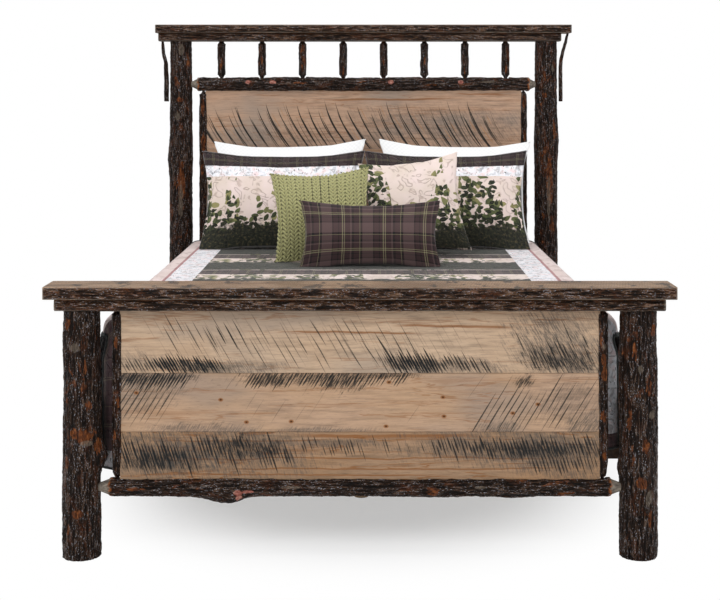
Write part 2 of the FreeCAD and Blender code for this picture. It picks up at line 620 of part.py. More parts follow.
foot_subcap = doc.getObject("footboard_subcap")
FOOT_SUBCAP_END = f"({POST_X} + foot_subcap_overhang)"
notch(foot_subcap, "footboard_subcap_groove",
      ("-(subcap_thickness / 2 + overrun)", f"-{PLANK_SLOT} / 2",
       f"{FOOT_SUBCAP_END} - {FOOT_RAIL_HALF} + stile_inset - {FOOT_PLANK_LAP}"),
      ("overrun + plank_groove", PLANK_SLOT, f"2 * ({FOOT_RAIL_HALF} - stile_inset + {FOOT_PLANK_LAP})"))
for side_name, side in SIDES:
    drill(foot_subcap, f"footboard_subcap_stile_mortise_{side_name}",
          ("-(subcap_thickness / 2 + overrun)", "0",
           f"{FOOT_SUBCAP_END} - {side} * ({FOOT_RAIL_HALF} - stile_inset)"), ALONG_X,
          "stile_tenon_diameter + 2 * fit_gap", "overrun + stile_tenon_length + end_gap")
head_subcap = doc.getObject("headboard_subcap")
for number in range(SPINDLE_COUNT):
    steps = number - (SPINDLE_COUNT - 1) / 2
    drill(head_subcap, f"headboard_subcap_spindle_mortise_{number}",
          ("-(subcap_thickness / 2 + overrun)", "0",
           f"{POST_X} + head_subcap_overhang_right - {steps} * {SPINDLE_PITCH}"), ALONG_X,
          "spindle_tenon_diameter + 2 * fit_gap", "overrun + spindle_tenon_length + end_gap")

# Twigs: a thin bent branch outside each head post. The left one hangs from the sub-cap's end, the right one from
# the cap, and both lean against the post at their lower end.
TWIG_SHARES = {
    "left": ((0, 1.22, 0, 0), (0.32, 1.18, 0.1, 0), (0.5, 1.1, -0.1, 0), (0.65, 1.0, -0.3, 0),
             (0.81, 0.85, -1.5, 0), (0.92, 0.75, -1.7, 0), (1, 0.6, -1.8, 0)),
    "right": ((0, 1.0, 0, 0), (0.3, 1.0, -0.1, 0), (0.48, 0.95, 0, 0), (0.6, 0.9, 0.1, 0),
              (0.74, 0.88, 1.2, 0), (0.86, 0.8, 2.4, 0), (1, 0.65, 3.5, 0)),
}
TWIG_BOTTOM = "(head_post_height - twig_reach)"
TWIG_LENGTHS = {"left": "(twig_reach - fit_gap)", "right": "(twig_reach + subcap_thickness - fit_gap)"}
for side_name, side in SIDES:
    twig = log_body(f"headboard_twig_{side_name}", TWIG_LENGTHS[side_name], "twig_diameter",
                    TWIG_SHARES[side_name])
    place(twig, (f"{side} * ({POST_X} + head_post_diameter / 2 + twig_diameter / 2 + twig_stand_off)", BOARD_Y,
                 TWIG_BOTTOM))

# Side rails: planed boards on edge between the flats of head and foot posts, with a recess at each end for the
# hook plate, and the ledger cleats screwed to their inner faces.
RAIL_FOOT_END = f"(-{BOARD_Y} + foot_post_diameter / 2 - foot_flat_depth + end_gap)"
RAIL_HEAD_END = f"({BOARD_Y} - head_post_diameter / 2 + head_flat_depth - end_gap)"
RAIL_LENGTH = f"({RAIL_HEAD_END} - {RAIL_FOOT_END})"
CLEAT_LENGTH = f"({RAIL_LENGTH} - 2 * cleat_end_gap)"
CLEAT_X = f"({RAIL_X} - rail_board_thickness / 2 - cleat_width / 2)"
LEDGER_SCREW_SHARES = (-0.44, -0.34, -0.12, 0.12, 0.34, 0.44)
QUARTER_TURN = Rotation(Vector(0, 0, 1), 90)

for side_name, side in SIDES:
    label = f"side_rail_{side_name}"
    rail = board_body(label, RAIL_LENGTH, "rail_board_thickness", "rail_board_height")
    place(rail, (f"{side} * {RAIL_X}", f"({RAIL_HEAD_END} + {RAIL_FOOT_END}) / 2", "rail_board_bottom"),
          QUARTER_TURN)
    ease_edges(rail, f"{label}_rounding", "Fillet", "Radius", "rail_board_radius", Vector(1, 0, 0))
    for end in (-1, 1):
        recess = "(plate_thickness + fit_gap)"
        start = f"-{RAIL_LENGTH} / 2 - overrun" if end < 0 else f"{RAIL_LENGTH} / 2 - {recess}"
        notch(rail, f"{label}_recess_{'foot' if end < 0 else 'head'}",
              (start, "-(plate_width / 2 + fit_gap)",
               "rail_board_height / 2 - plate_height / 2 - fit_gap"),
              (f"{recess} + overrun", "plate_width + 2 * fit_gap", "plate_height + 2 * fit_gap"))
        for level in (-1, 1):
            drill(rail, f"{label}_plate_screw_{'foot' if end < 0 else 'head'}_{'low' if level < 0 else 'high'}",
                  (f"{end} * ({RAIL_LENGTH} / 2 - plate_thickness - hook_screw_length)", "0",
                   f"rail_board_height / 2 + {level} * plate_screw_pitch / 2"),
                  ALONG_X if end > 0 else AGAINST_X, "screw_diameter + 2 * fit_gap",
                  "hook_screw_length + overrun")
    cleat = board_body(f"rail_cleat_{side_name}", CLEAT_LENGTH, "cleat_width", "cleat_height")
    place(cleat, (f"{side} * {CLEAT_X}", f"({RAIL_HEAD_END} + {RAIL_FOOT_END}) / 2", "cleat_bottom"),
          QUARTER_TURN)
    for number, share in enumerate(LEDGER_SCREW_SHARES):
        drill(cleat, f"rail_cleat_{side_name}_screw_{number}",
              (f"{CLEAT_LENGTH} * {share}", "-(cleat_width / 2 + overrun)", "cleat_height / 2"), ALONG_Y,
              "screw_diameter + 2 * fit_gap", "cleat_width + 2 * overrun")
        head_sink = cleat.newObject("PartDesign::SubtractiveCone", f"rail_cleat_{side_name}_countersink_{number}")
        place(head_sink, (f"{CLEAT_LENGTH} * {share}", f"{side} * cleat_width / 2", "cleat_height / 2"),
              AGAINST_Y if side > 0 else ALONG_Y)
        bind(head_sink, "Radius1", "screw_head_diameter / 2 + fit_gap")
        bind(head_sink, "Radius2", "screw_diameter / 2 + fit_gap")
        bind(head_sink, "Height", "screw_head_height")
        drill(rail, f"{label}_ledger_screw_{number}",
              (f"{CLEAT_LENGTH} * {share}", f"{side} * (rail_board_thickness / 2 + cleat_width - cleat_screw_length"
               " - end_gap)", "cleat_bottom - rail_board_bottom + cleat_height / 2"),
              ALONG_Y if side > 0 else AGAINST_Y, "screw_diameter + 2 * fit_gap",
              "cleat_screw_length - cleat_width + overrun")

# Slats: five boards across the ledgers, screwed down at both ends and in the middle, over a beam on two feet.
SLAT_COUNT = 5
SLAT_PITCH = f"(({BEAM_LENGTH} - slat_width) / {SLAT_COUNT - 1})"
SLAT_LENGTH = f"(2 * ({RAIL_X} - rail_board_thickness / 2 - slat_side_gap))"
SLAT_SCREW_PLACES = (f"-{CLEAT_X}", "0", CLEAT_X)

beam = board_body("centre_beam", BEAM_LENGTH, "beam_width", "beam_height")
place(beam, ("0", "0", "cleat_bottom + cleat_height - beam_height"), QUARTER_TURN)
for number in range(SLAT_COUNT):
    steps = number - (SLAT_COUNT - 1) / 2
    slat = board_body(f"slat_{number + 1}", SLAT_LENGTH, "slat_width", "slat_thickness")
    place(slat, ("0", f"{steps} * {SLAT_PITCH}", "cleat_bottom + cleat_height"))
    for spot, across in enumerate(SLAT_SCREW_PLACES):
        drill(slat, f"slat_{number + 1}_screw_{spot}", (across, "0", "-overrun"), Rotation(),
              "screw_diameter + 2 * fit_gap", "slat_thickness + 2 * overrun")
        head_sink = slat.newObject("PartDesign::SubtractiveCone", f"slat_{number + 1}_countersink_{spot}")
        place(head_sink, (across, "0", "slat_thickness"), DOWN_LOCAL_Z)
        bind(head_sink, "Radius1", "screw_head_diameter / 2 + fit_gap")
        bind(head_sink, "Radius2", "screw_diameter / 2 + fit_gap")
        bind(head_sink, "Height", "screw_head_height")
    drill(beam, f"centre_beam_screw_{number}",
          (f"{steps} * {SLAT_PITCH}", "0", "beam_height + slat_thickness - slat_screw_length - end_gap"),
          Rotation(), "screw_diameter + 2 * fit_gap", "slat_screw_length + overrun")
    for side_name, side in SIDES:
        cleat = doc.getObject(f"rail_cleat_{side_name}")
        drill(cleat, f"rail_cleat_{side_name}_slat_screw_{number}",
              (f"{steps} * {SLAT_PITCH} - ({RAIL_HEAD_END} + {RAIL_FOOT_END}) / 2", "0",
               "cleat_height + slat_thickness - slat_screw_length - end_gap"), Rotation(),
              "screw_diameter + 2 * fit_gap", "slat_screw_length + overrun")

CENTRE_FOOT_SHARES = (-0.25, 0.25)
CENTRE_FOOT_HEIGHT = "(cleat_bottom + cleat_height - beam_height)"
for number, share in enumerate(CENTRE_FOOT_SHARES, start=1):
    foot = log_body(f"centre_foot_{number}", CENTRE_FOOT_HEIGHT, "centre_foot_diameter",
                    ((0, 0.96, 0, 0), (0.5, 1.0, 0.02, 0), (1, 0.94, 0, 0)))
    place(foot, ("0", f"{BEAM_LENGTH} * {share}", "0"))
    add_pin(foot, f"centre_foot_{number}_tenon", ("0", "0", f"{CENTRE_FOOT_HEIGHT} - overrun"), Rotation(),
            "centre_foot_tenon_diameter", "centre_foot_tenon_length + overrun")
    drill(beam, f"centre_beam_foot_mortise_{number}", (f"{BEAM_LENGTH} * {share}", "0", "-overrun"), Rotation(),
          "centre_foot_tenon_diameter + 2 * fit_gap", "overrun + centre_foot_tenon_length + end_gap")


# A box spring and a mattress: padded blocks with round corners and soft edges.
def bedding_block(label, bottom, height, edge_radius):
    block = doc.addObject("Part::Box", f"{label}_block")
    bind(block, "Length", "mattress_width")
    bind(block, "Width", "mattress_length")
    bind(block, "Height", height)
    place(block, ("-mattress_width / 2", "-mattress_length / 2", bottom))
    doc.recompute()
    upright = edge_numbers(block.Shape, Vector(0, 0, 1))
    corners = doc.addObject("Part::Fillet", f"{label}_corners")
    corners.Base = block
    corner_radius = value("mattress_corner_radius")
    corners.Edges = [(number, corner_radius, corner_radius) for number in upright]
    doc.recompute()
    rims = []
    for number, edge in enumerate(corners.Shape.Edges, start=1):
        if edge.BoundBox.ZLength < value("fit_gap"):
            rims.append((number, value(edge_radius), value(edge_radius)))
    body = doc.addObject("Part::Fillet", label)
    body.Base = corners
    body.Edges = rims
    return body


def edge_numbers(shape, axis):
    return [int(name[len("Edge"):]) for name in edges_along(shape, axis)]


bedding_block("box_spring", SLAT_TOP, "box_spring_height", "box_spring_edge_radius")
bedding_block("mattress", MATTRESS_BOTTOM, "mattress_height", "mattress_edge_radius")


def add_feature(label, shape, placement=Placement()):
    feature = doc.addObject("Part::Feature", label)
    feature.Shape = shape
    feature.Placement = placement
    return feature


# The quilt: a hood over the mattress, and three drops with soft folds: one outside each side rail and one
# between the mattress and the footboard. The corners at the foot are split, so that it clears the posts.
def soft_box(half_width, back, front, bottom, top, corner_radius, edge_radius):
    box = Part.makeBox(2 * half_width, back - front, top - bottom, Vector(-half_width, front, bottom))
    middle = (top + bottom) / 2
    upright = [edge for edge in box.Edges
               if edge.BoundBox.ZMin < middle < edge.BoundBox.ZMax and edge.BoundBox.YMax < back - corner_radius]
    box = box.makeFillet(corner_radius, upright)
    rims = [edge for edge in box.Edges
            if edge.BoundBox.ZMin > middle and edge.BoundBox.YMin < back - corner_radius]
    return box.makeFillet(edge_radius, rims)


# One closed wire of a drop in plan at one level. It runs along the run axis from start to stop, in folds whose
# ends are shares of the run, with ridges outwards and shallow valleys between them.
FOLD_END_SHARES = (0, 0.1, 0.17, 0.29, 0.36, 0.47, 0.56, 0.66, 0.76, 0.84, 0.93, 1)
FOLD_DEPTH_SHARES = (0.7, -0.2, 1.0, -0.25, 0.8, -0.2, 0.95, -0.25, 0.75, -0.2, 0.85)
VALLEY_SHARE = 0.25


def fold_wire(start, stop, inner, thickness, depth, outward, level, run_axis):
    def spot(along, off):
        off = outward * off
        return Vector(off, along, level) if run_axis == "y" else Vector(along, off, level)

    run = stop - start
    valley = VALLEY_SHARE * depth
    lines = []
    for face in (inner + valley, inner + valley + thickness):
        edges = []
        for first, second, share in zip(FOLD_END_SHARES, FOLD_END_SHARES[1:], FOLD_DEPTH_SHARES):
            begin = start + run * first
            end = start + run * second
            crest = (begin + end) / 2
            edges.append(Part.Arc(spot(begin, face), spot(crest, face + depth * share), spot(end, face)).toShape()
                         if depth else Part.LineSegment(spot(begin, face), spot(end, face)).toShape())
        lines.append(edges)
    near, far = lines
    caps = [Part.LineSegment(far_edge.Vertexes[index].Point, near_edge.Vertexes[index].Point).toShape()
            for far_edge, near_edge, index in ((far[0], near[0], 0), (far[-1], near[-1], -1))]
    return Part.Wire(Part.__sortEdges__(near + far + caps))


quilt_thickness = value("quilt_thickness")
quilt_gap = value("quilt_gap")
mattress_top = value(MATTRESS_TOP)
half_width = value("mattress_width / 2")
half_length = value("mattress_length / 2")
hood_bottom = value(f"{MATTRESS_TOP} - quilt_hood_height")
edge_radius = value("mattress_edge_radius")
corner_radius = value("mattress_corner_radius")
hood_back = value("mattress_length / 2 - quilt_head_margin")
outer_gap = quilt_gap + quilt_thickness
outside = soft_box(half_width + outer_gap, hood_back, -half_length - outer_gap, hood_bottom,
                   mattress_top + outer_gap, corner_radius + outer_gap, edge_radius + outer_gap)
inside = soft_box(half_width + quilt_gap, hood_back + outer_gap, -half_length - quilt_gap,
                  hood_bottom - outer_gap, mattress_top + quilt_gap, corner_radius + quilt_gap,
                  edge_radius + quilt_gap)
quilt = outside.cut(inside)

rail_top = value("rail_board_bottom + rail_board_height")
rail_outside = value(f"{RAIL_X} + rail_board_thickness / 2 + end_gap")
side_start = -half_length + corner_radius
side_hem = value("quilt_side_hem_height")
for side_name, side in SIDES:
    wires = [
        fold_wire(side_start, hood_back, half_width + quilt_gap, quilt_thickness, 0, side, hood_bottom, "y"),
        fold_wire(side_start, hood_back, rail_outside, quilt_thickness, value("quilt_fold_depth / 2"), side,
                  rail_top + quilt_thickness, "y"),
        fold_wire(side_start, hood_back, rail_outside, quilt_thickness, value("quilt_fold_depth"), side,
                  side_hem, "y"),
    ]
    quilt = quilt.fuse(Part.makeLoft(wires, True, True))

foot_half = half_width + quilt_gap - corner_radius
foot_wires = [
    fold_wire(-foot_half, foot_half, half_length + quilt_gap, quilt_thickness, 0, -1, hood_bottom, "x"),
    fold_wire(-half_width, half_width, half_length + quilt_gap, quilt_thickness, value("quilt_foot_fold_depth"),
              -1, value("quilt_foot_hem_left"), "x"),
]
foot_drop = Part.makeLoft(foot_wires, True, True)
hem_left = value("quilt_foot_hem_left")
hem_right = value("quilt_foot_hem_right")
hem_reach = half_width + outer_gap
hem_low = hem_left - outer_gap
hem_wedge = Part.Face(Part.makePolygon([Vector(-hem_reach, 0, hem_left), Vector(hem_reach, 0, hem_right),
                                        Vector(hem_reach, 0, hem_low), Vector(-hem_reach, 0, hem_low),
                                        Vector(-hem_reach, 0, hem_left)]))
foot_drop = foot_drop.cut(hem_wedge.extrude(Vector(0, -2 * half_length, 0)))
quilt = quilt.fuse(foot_drop)
add_feature("quilt", quilt.removeSplitter())


# Pillows: lens sections lofted across the width. They are full in the middle, thin at the seams, their corners
# stand out, and their sides are drawn in. Each leans back and is flat where it rests on the quilt.
STATION_SHARES = (-0.5, -0.47, -0.42, -0.33, -0.18, 0, 0.18, 0.33, 0.42, 0.47, 0.5)
CROWN_SHARES = (0.12, 0.34, 0.6, 0.84, 0.97, 1, 0.97, 0.84, 0.6, 0.34, 0.12)
HEIGHT_SHARES = (0.97, 1, 0.985, 0.96, 0.945, 0.94, 0.945, 0.96, 0.985, 1, 0.97)


def pillow_shape(width, height, thickness):
    wires = []
    for station, crown, tall in zip(STATION_SHARES, CROWN_SHARES, HEIGHT_SHARES):
        across = width * station
        half_height = height * tall / 2
        half_thickness = thickness * crown / 2
        front = Part.Arc(Vector(across, -half_height, 0), Vector(across, 0, half_thickness),
                         Vector(across, half_height, 0))
        back = Part.Arc(Vector(across, half_height, 0), Vector(across, 0, -half_thickness),
                        Vector(across, -half_height, 0))
        wires.append(Part.Wire([front.toShape(), back.toShape()]))
    body = Part.makeLoft(wires, True, True)
    draw = value("pillow_side_draw")
    radius = ((height / 2) ** 2 + draw ** 2) / (2 * draw)
    for side_name, side in SIDES:
        middle = Vector(side * (width / 2 - draw + radius), 0, -thickness)
        body = body.cut(Part.makeCylinder(radius, 2 * thickness, middle))
    return body


def pillow(label, name, across, lean_degrees, tilt_degrees=0):
    height = value(f"{name}_height")
    shape = pillow_shape(value(f"{name}_width"), height, value(f"{name}_thickness"))
    upright = Rotation(Vector(1, 0, 0), 90 - lean_degrees)
    rotation = upright.multiply(Rotation(Vector(0, 0, 1), tilt_degrees))
    rested = shape.copy()
    rested.Placement = Placement(Vector(), rotation)
    quilt_top = value(QUILT_TOP)
    lift = quilt_top + value("fit_gap") - value("pillow_sink") - rested.optimalBoundingBox().ZMin
    up = rotation.multVec(Vector(0, height / 2, 0))
    setback = value(f"{BOARD_Y} - plank_thickness / 2 - {name}_setback")
    placement = Placement(Vector(value(across), setback + up.y, lift), rotation)
    rested.Placement = placement
    reach = value(f"{name}_width")
    floor = Part.makeBox(2 * reach, 2 * reach, quilt_top, placement.Base - Vector(reach, reach, placement.Base.z))
    floor.translate(Vector(0, 0, value("fit_gap")))
    rested = rested.cut(floor)
    rested.transformShape(placement.inverse().toMatrix(), True)
    add_feature(label, rested, placement)


WHITE_LEAN_DEGREES = 13
WHITE_TILT_DEGREES = 1
SHAM_LEAN_DEGREES = 22
THROW_LEAN_DEGREES = 18
THROW_TILT_DEGREES = 7
KNITTED_LEAN_DEGREES = 15
KNITTED_TILT_DEGREES = 4
LUMBAR_LEAN_DEGREES = 18
for side_name, side in SIDES:
    pillow(f"white_pillow_{side_name}", "white_pillow",
           f"pillow_shift + {side} * (pillow_spacing / 2 + white_pillow_outset)", WHITE_LEAN_DEGREES,
           -side * WHITE_TILT_DEGREES)
for side_name, side in SIDES:
    pillow(f"sham_{side_name}", "sham", f"sham_shift + {side} * (pillow_spacing + end_gap) / 2",
           SHAM_LEAN_DEGREES)
pillow("patterned_throw_pillow", "throw", "throw_place", THROW_LEAN_DEGREES, THROW_TILT_DEGREES)
pillow("knitted_pillow", "knitted", "-knitted_place", KNITTED_LEAN_DEGREES, KNITTED_TILT_DEGREES)
pillow("lumbar_pillow", "lumbar", "lumbar_place", LUMBAR_LEAN_DEGREES)


# Hook plates. A rail plate carries two hooks that reach through the slots of the post plate and drop behind it.
def plate_blank():
    width = value("plate_width")
    height = value("plate_height")
    thickness = value("plate_thickness")
    blank = Part.makeBox(width, thickness, height, Vector(-width / 2, -thickness, -height / 2))
    for level in (-1, 1):
        middle = Vector(0, 0, level * value("plate_screw_pitch / 2"))
        sink = value("screw_head_height")
        radius = value("screw_diameter / 2 + fit_gap")
        bore = Part.makeCylinder(radius, 2 * thickness, middle + Vector(0, -2 * thickness, 0), Vector(0, 1, 0))
        cone = Part.makeCone(value("screw_head_diameter / 2 + fit_gap"), radius, sink, middle, Vector(0, -1, 0))
        blank = blank.cut(bore).cut(cone)
    return blank


def post_plate():
    plate = plate_blank()
    slot_width = value("hook_width + 2 * end_gap")
    hook_drop = value("hook_height + hook_lip_drop")
    for level in (-1, 1):
        bottom = value(f"{level} * hook_pitch / 2 - hook_height / 2 - fit_gap")
        slot = Part.makeBox(slot_width, value("4 * plate_thickness"), hook_drop + value("end_gap"),
                            Vector(-slot_width / 2, value("-2 * plate_thickness"), bottom))
        plate = plate.cut(slot)
    return plate


def rail_plate():
    plate = plate_blank()
    width = value("hook_width")
    reach = value("2 * end_gap + plate_thickness + hook_lip_thickness")
    for level in (-1, 1):
        bottom = value(f"{level} * hook_pitch / 2 - hook_height / 2")
        arm = Part.makeBox(width, reach, value("hook_height"), Vector(-width / 2, 0, bottom))
        lip = Part.makeBox(width, value("hook_lip_thickness - end_gap / 2"),
                           value("hook_height + hook_lip_drop"),
                           Vector(-width / 2, value("end_gap / 2 + plate_thickness + 2 * end_gap"),
                                  bottom - value("hook_lip_drop")))
        plate = plate.fuse([arm, lip])
    return plate.removeSplitter()


def screw(length):
    sink = value("screw_head_height")
    shank = Part.makeCylinder(value("screw_diameter / 2"), length, Vector(), Vector(0, 0, -1))
    head = Part.makeCone(value("screw_head_diameter / 2"), value("screw_diameter / 2"), sink, Vector(),
                         Vector(0, 0, -1))
    return shank.fuse(head).removeSplitter()


def copy_at(shape, spot, rotation):
    copy = shape.copy()
    copy.Placement = Placement(spot, rotation)
    return copy


# The plates face along Y. At the foot post the post plate looks towards +Y, at the head post towards -Y. A screw
# is drawn with its head up and its shank down.
post_plates = []
rail_plates = []
hook_screws = []
half_turn = Rotation(Vector(0, 0, 1), 180)
hook_screw = screw(value("hook_screw_length"))
for side_name, side in SIDES:
    across = side * value(RAIL_X)
    for end, rail_end in ((-1, RAIL_FOOT_END), (1, RAIL_HEAD_END)):
        rail_face = value(rail_end)
        post_face = rail_face + end * value("end_gap")
        middle = value(RAIL_MIDDLE)
        facing_bed = Rotation() if end < 0 else half_turn
        facing_post = half_turn if end < 0 else Rotation()
        post_plates.append(copy_at(post_plate(), Vector(across, post_face, middle), facing_bed))
        rail_plates.append(copy_at(rail_plate(), Vector(across, rail_face, middle), facing_post))
        for level in (-1, 1):
            height = middle + level * value("plate_screw_pitch / 2")
            into_post = Rotation(Vector(1, 0, 0), 90 * end)
            into_rail = Rotation(Vector(1, 0, 0), -90 * end)
            hook_screws.append(copy_at(hook_screw, Vector(across, post_face, height), into_post))
            hook_screws.append(copy_at(hook_screw, Vector(across, rail_face, height), into_rail))
add_feature("post_hook_plates", Part.makeCompound(post_plates))
add_feature("rail_hooks", Part.makeCompound(rail_plates))
add_feature("hook_screws", Part.makeCompound(hook_screws))

cap_screws = []
cap_screw = screw(value("cap_screw_length"))
for board, end, bottom, cap_overhang, left_overhang, right_overhang, half in BOARDS:
    for share in CAP_SCREW_SHARES:
        for offset in (-1, 1):
            spot = Vector(share * value(half), end * value(BOARD_Y) + offset * value("cap_screw_offset"),
                          value(bottom))
            cap_screws.append(copy_at(cap_screw, spot, DOWN_LOCAL_Z))
add_feature("cap_screws", Part.makeCompound(cap_screws))

cleat_screws = []
cleat_screw = screw(value("cleat_screw_length"))
rail_middle_y = value(f"({RAIL_HEAD_END} + {RAIL_FOOT_END}) / 2")
for side_name, side in SIDES:
    for share in LEDGER_SCREW_SHARES:
        spot = Vector(side * value(f"{CLEAT_X} - cleat_width / 2"),
                      rail_middle_y + share * value(CLEAT_LENGTH), value("cleat_bottom + cleat_height / 2"))
        cleat_screws.append(copy_at(cleat_screw, spot, Rotation(Vector(0, 1, 0), -90 * side)))
add_feature("cleat_screws", Part.makeCompound(cleat_screws))

slat_screws = []
slat_screw = screw(value("slat_screw_length"))
for number in range(SLAT_COUNT):
    steps = number - (SLAT_COUNT - 1) / 2
    for across in SLAT_SCREW_PLACES:
        spot = Vector(value(across), value(f"{steps} * {SLAT_PITCH}"), value(SLAT_TOP))
        slat_screws.append(copy_at(slat_screw, spot, Rotation()))
add_feature("slat_screws", Part.makeCompound(slat_screws))

# Every sub-part is checked, then written to its own file.
doc.recompute()
broken = [thing.Name for thing in doc.Objects if {"Invalid", "Error"} & set(thing.State)]
if broken:
    raise RuntimeError(f"failed features: {broken}")
sub_parts = [thing for thing in doc.Objects
             if thing.TypeId in ("PartDesign::Body", "Part::Feature", "Part::Fillet") and not thing.InList]
for part in sub_parts:
    if part.Shape.isNull() or not part.Shape.isValid():
        raise RuntimeError(f"bad shape: {part.Label}")
os.makedirs("parts", exist_ok=True)
for part in sub_parts:
    part.Shape.exportStep(f"parts/{part.Label}.step")
print(len(sub_parts), "sub-parts,", sum(len(part.Shape.Solids) for part in sub_parts), "solids")
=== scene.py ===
import bpy
import json
import math
import numpy as np
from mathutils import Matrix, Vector

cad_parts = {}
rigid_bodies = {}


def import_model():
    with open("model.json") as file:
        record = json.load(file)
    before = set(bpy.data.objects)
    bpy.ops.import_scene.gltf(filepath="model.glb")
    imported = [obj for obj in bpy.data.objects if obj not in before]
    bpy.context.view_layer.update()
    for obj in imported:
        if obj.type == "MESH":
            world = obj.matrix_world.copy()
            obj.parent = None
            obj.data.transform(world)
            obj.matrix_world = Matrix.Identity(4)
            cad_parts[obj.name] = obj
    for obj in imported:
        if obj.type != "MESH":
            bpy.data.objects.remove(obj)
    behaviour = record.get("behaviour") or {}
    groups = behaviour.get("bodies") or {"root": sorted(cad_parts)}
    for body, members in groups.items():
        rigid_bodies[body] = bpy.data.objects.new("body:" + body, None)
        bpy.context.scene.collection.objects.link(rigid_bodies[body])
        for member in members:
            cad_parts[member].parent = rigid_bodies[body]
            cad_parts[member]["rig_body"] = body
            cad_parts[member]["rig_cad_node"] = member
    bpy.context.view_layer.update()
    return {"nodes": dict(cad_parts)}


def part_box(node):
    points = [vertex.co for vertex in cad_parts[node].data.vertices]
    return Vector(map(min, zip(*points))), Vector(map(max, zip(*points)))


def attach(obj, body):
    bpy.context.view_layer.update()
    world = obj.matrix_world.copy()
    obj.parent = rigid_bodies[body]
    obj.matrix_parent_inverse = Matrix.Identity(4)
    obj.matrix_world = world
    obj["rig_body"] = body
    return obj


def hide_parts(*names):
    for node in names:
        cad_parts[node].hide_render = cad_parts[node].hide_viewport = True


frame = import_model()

cad = frame["nodes"]

# Posts: four straight logs with the bark left on, under a glossy varnish. The bark is ridged lengthwise, with
# rust and tan patches where it has flaked, and each post keeps a knot or the stub of a branch.
# They stand on the floor, and their tenons go up into the sub-caps.
ALONG = {"X": 0, "Y": 1, "Z": 2}
TINY = 1e-6
END_INSET = 0.0004


def clear_selection():
    if bpy.context.object and bpy.context.object.mode != "OBJECT":
        bpy.ops.object.mode_set(mode="OBJECT")
    bpy.ops.object.select_all(action="DESELECT")


def work_on(piece):
    clear_selection()
    piece.select_set(True)
    bpy.context.view_layer.objects.active = piece


def pick(piece, kind, wanted):
    """Selects, in edit mode, the vertices, edges or faces of a piece for which wanted is true."""
    work_on(piece)
    bpy.ops.object.mode_set(mode="EDIT")
    bpy.ops.mesh.select_mode(type=kind)
    bpy.ops.mesh.select_all(action="DESELECT")
    bpy.ops.object.mode_set(mode="OBJECT")
    members = {"VERT": piece.data.vertices, "EDGE": piece.data.edges, "FACE": piece.data.polygons}[kind]
    members.foreach_set("select", np.asarray(wanted, dtype=bool))
    bpy.ops.object.mode_set(mode="EDIT")


def points_of(piece):
    flat = np.zeros(3 * len(piece.data.vertices))
    piece.data.vertices.foreach_get("co", flat)
    return flat.reshape(-1, 3)


def set_points(piece, points):
    piece.data.vertices.foreach_set("co", points.ravel())
    piece.data.update()


def edges_of(piece):
    ends = np.zeros(2 * len(piece.data.edges), dtype=int)
    piece.data.edges.foreach_get("vertices", ends)
    return ends.reshape(-1, 2)


def give_values(piece, name, values):
    layer = piece.data.attributes.new(name, "FLOAT", "POINT")
    layer.data.foreach_set("value", np.asarray(values, dtype=np.float32))


def weigh(piece, name, weights):
    group = piece.vertex_groups.new(name=name)
    for index, weight in enumerate(weights):
        group.add((index,), float(weight), "REPLACE")


def apply_modifier(piece, name):
    work_on(piece)
    bpy.ops.object.modifier_apply(modifier=name)


def modify(piece, kind, **settings):
    """Adds a modifier and applies it at once."""
    change = piece.modifiers.new(kind, kind)
    for key, setting in settings.items():
        setattr(change, key, setting)
    apply_modifier(piece, kind)


def raise_surface(piece, kind, size, strength, stretch, middle, **settings):
    """Moves a piece's surface in and out by a procedural pattern that is drawn out along the grain."""
    texture = bpy.data.textures.new(f"{piece.name}_{kind.lower()}", kind)
    texture.noise_scale = size
    for key, setting in settings.items():
        setattr(texture, key, setting)
    grain = bpy.data.objects.new(f"{piece.name}_grain", None)
    bpy.context.scene.collection.objects.link(grain)
    grain.scale = stretch
    grain.location = piece["grain_shift"]
    bpy.context.view_layer.update()
    modify(piece, "DISPLACE", texture=texture, texture_coords="OBJECT", texture_coords_object=grain,
           strength=strength, mid_level=middle, vertex_group="bark")
    bpy.data.objects.remove(grain)


def drawn_out(axis, amount):
    return tuple(amount if ALONG[axis] == number else 1.0 for number in range(3))


def turn_outward(piece):
    """Makes every face of a closed piece look outward."""
    work_on(piece)
    bpy.ops.object.mode_set(mode="EDIT")
    bpy.ops.mesh.select_all(action="SELECT")
    bpy.ops.mesh.normals_make_consistent(inside=False)
    bpy.ops.object.mode_set(mode="OBJECT")


def new_block(name, middle, size):
    clear_selection()
    bpy.ops.mesh.primitive_cube_add(size=1, location=middle)
    piece = bpy.context.object
    piece.name = name
    piece.scale = size
    bpy.ops.object.transform_apply(location=True, rotation=True, scale=True)
    return piece


def dress(piece, material):
    piece.data.materials.clear()
    piece.data.materials.append(material)


def grain_shift(seed):
    """Where a piece's pattern starts, so that no two pieces look alike."""
    return 0.37 * seed, 0.61 * seed, 0.83 * seed


def ring_cuts(piece, axis, cuts):
    """Lays rings round a tube by cutting its lengthwise edges into equal steps, once for each number given."""
    for number in cuts:
        spots = points_of(piece)[:, ALONG[axis]]
        ends = edges_of(piece)
        pick(piece, "EDGE", abs(spots[ends[:, 0]] - spots[ends[:, 1]]) > 1e-4)
        bpy.ops.mesh.subdivide(number_cuts=number)
        bpy.ops.object.mode_set(mode="OBJECT")


def as_share(heights, counted=slice(None)):
    """Heights from 0 for the low ones to 1 for the high ones, by the range that most of the counted ones have."""
    low, high = np.percentile(heights[counted], (3, 97))
    return np.clip((heights - low) / (high - low), 0, 1)


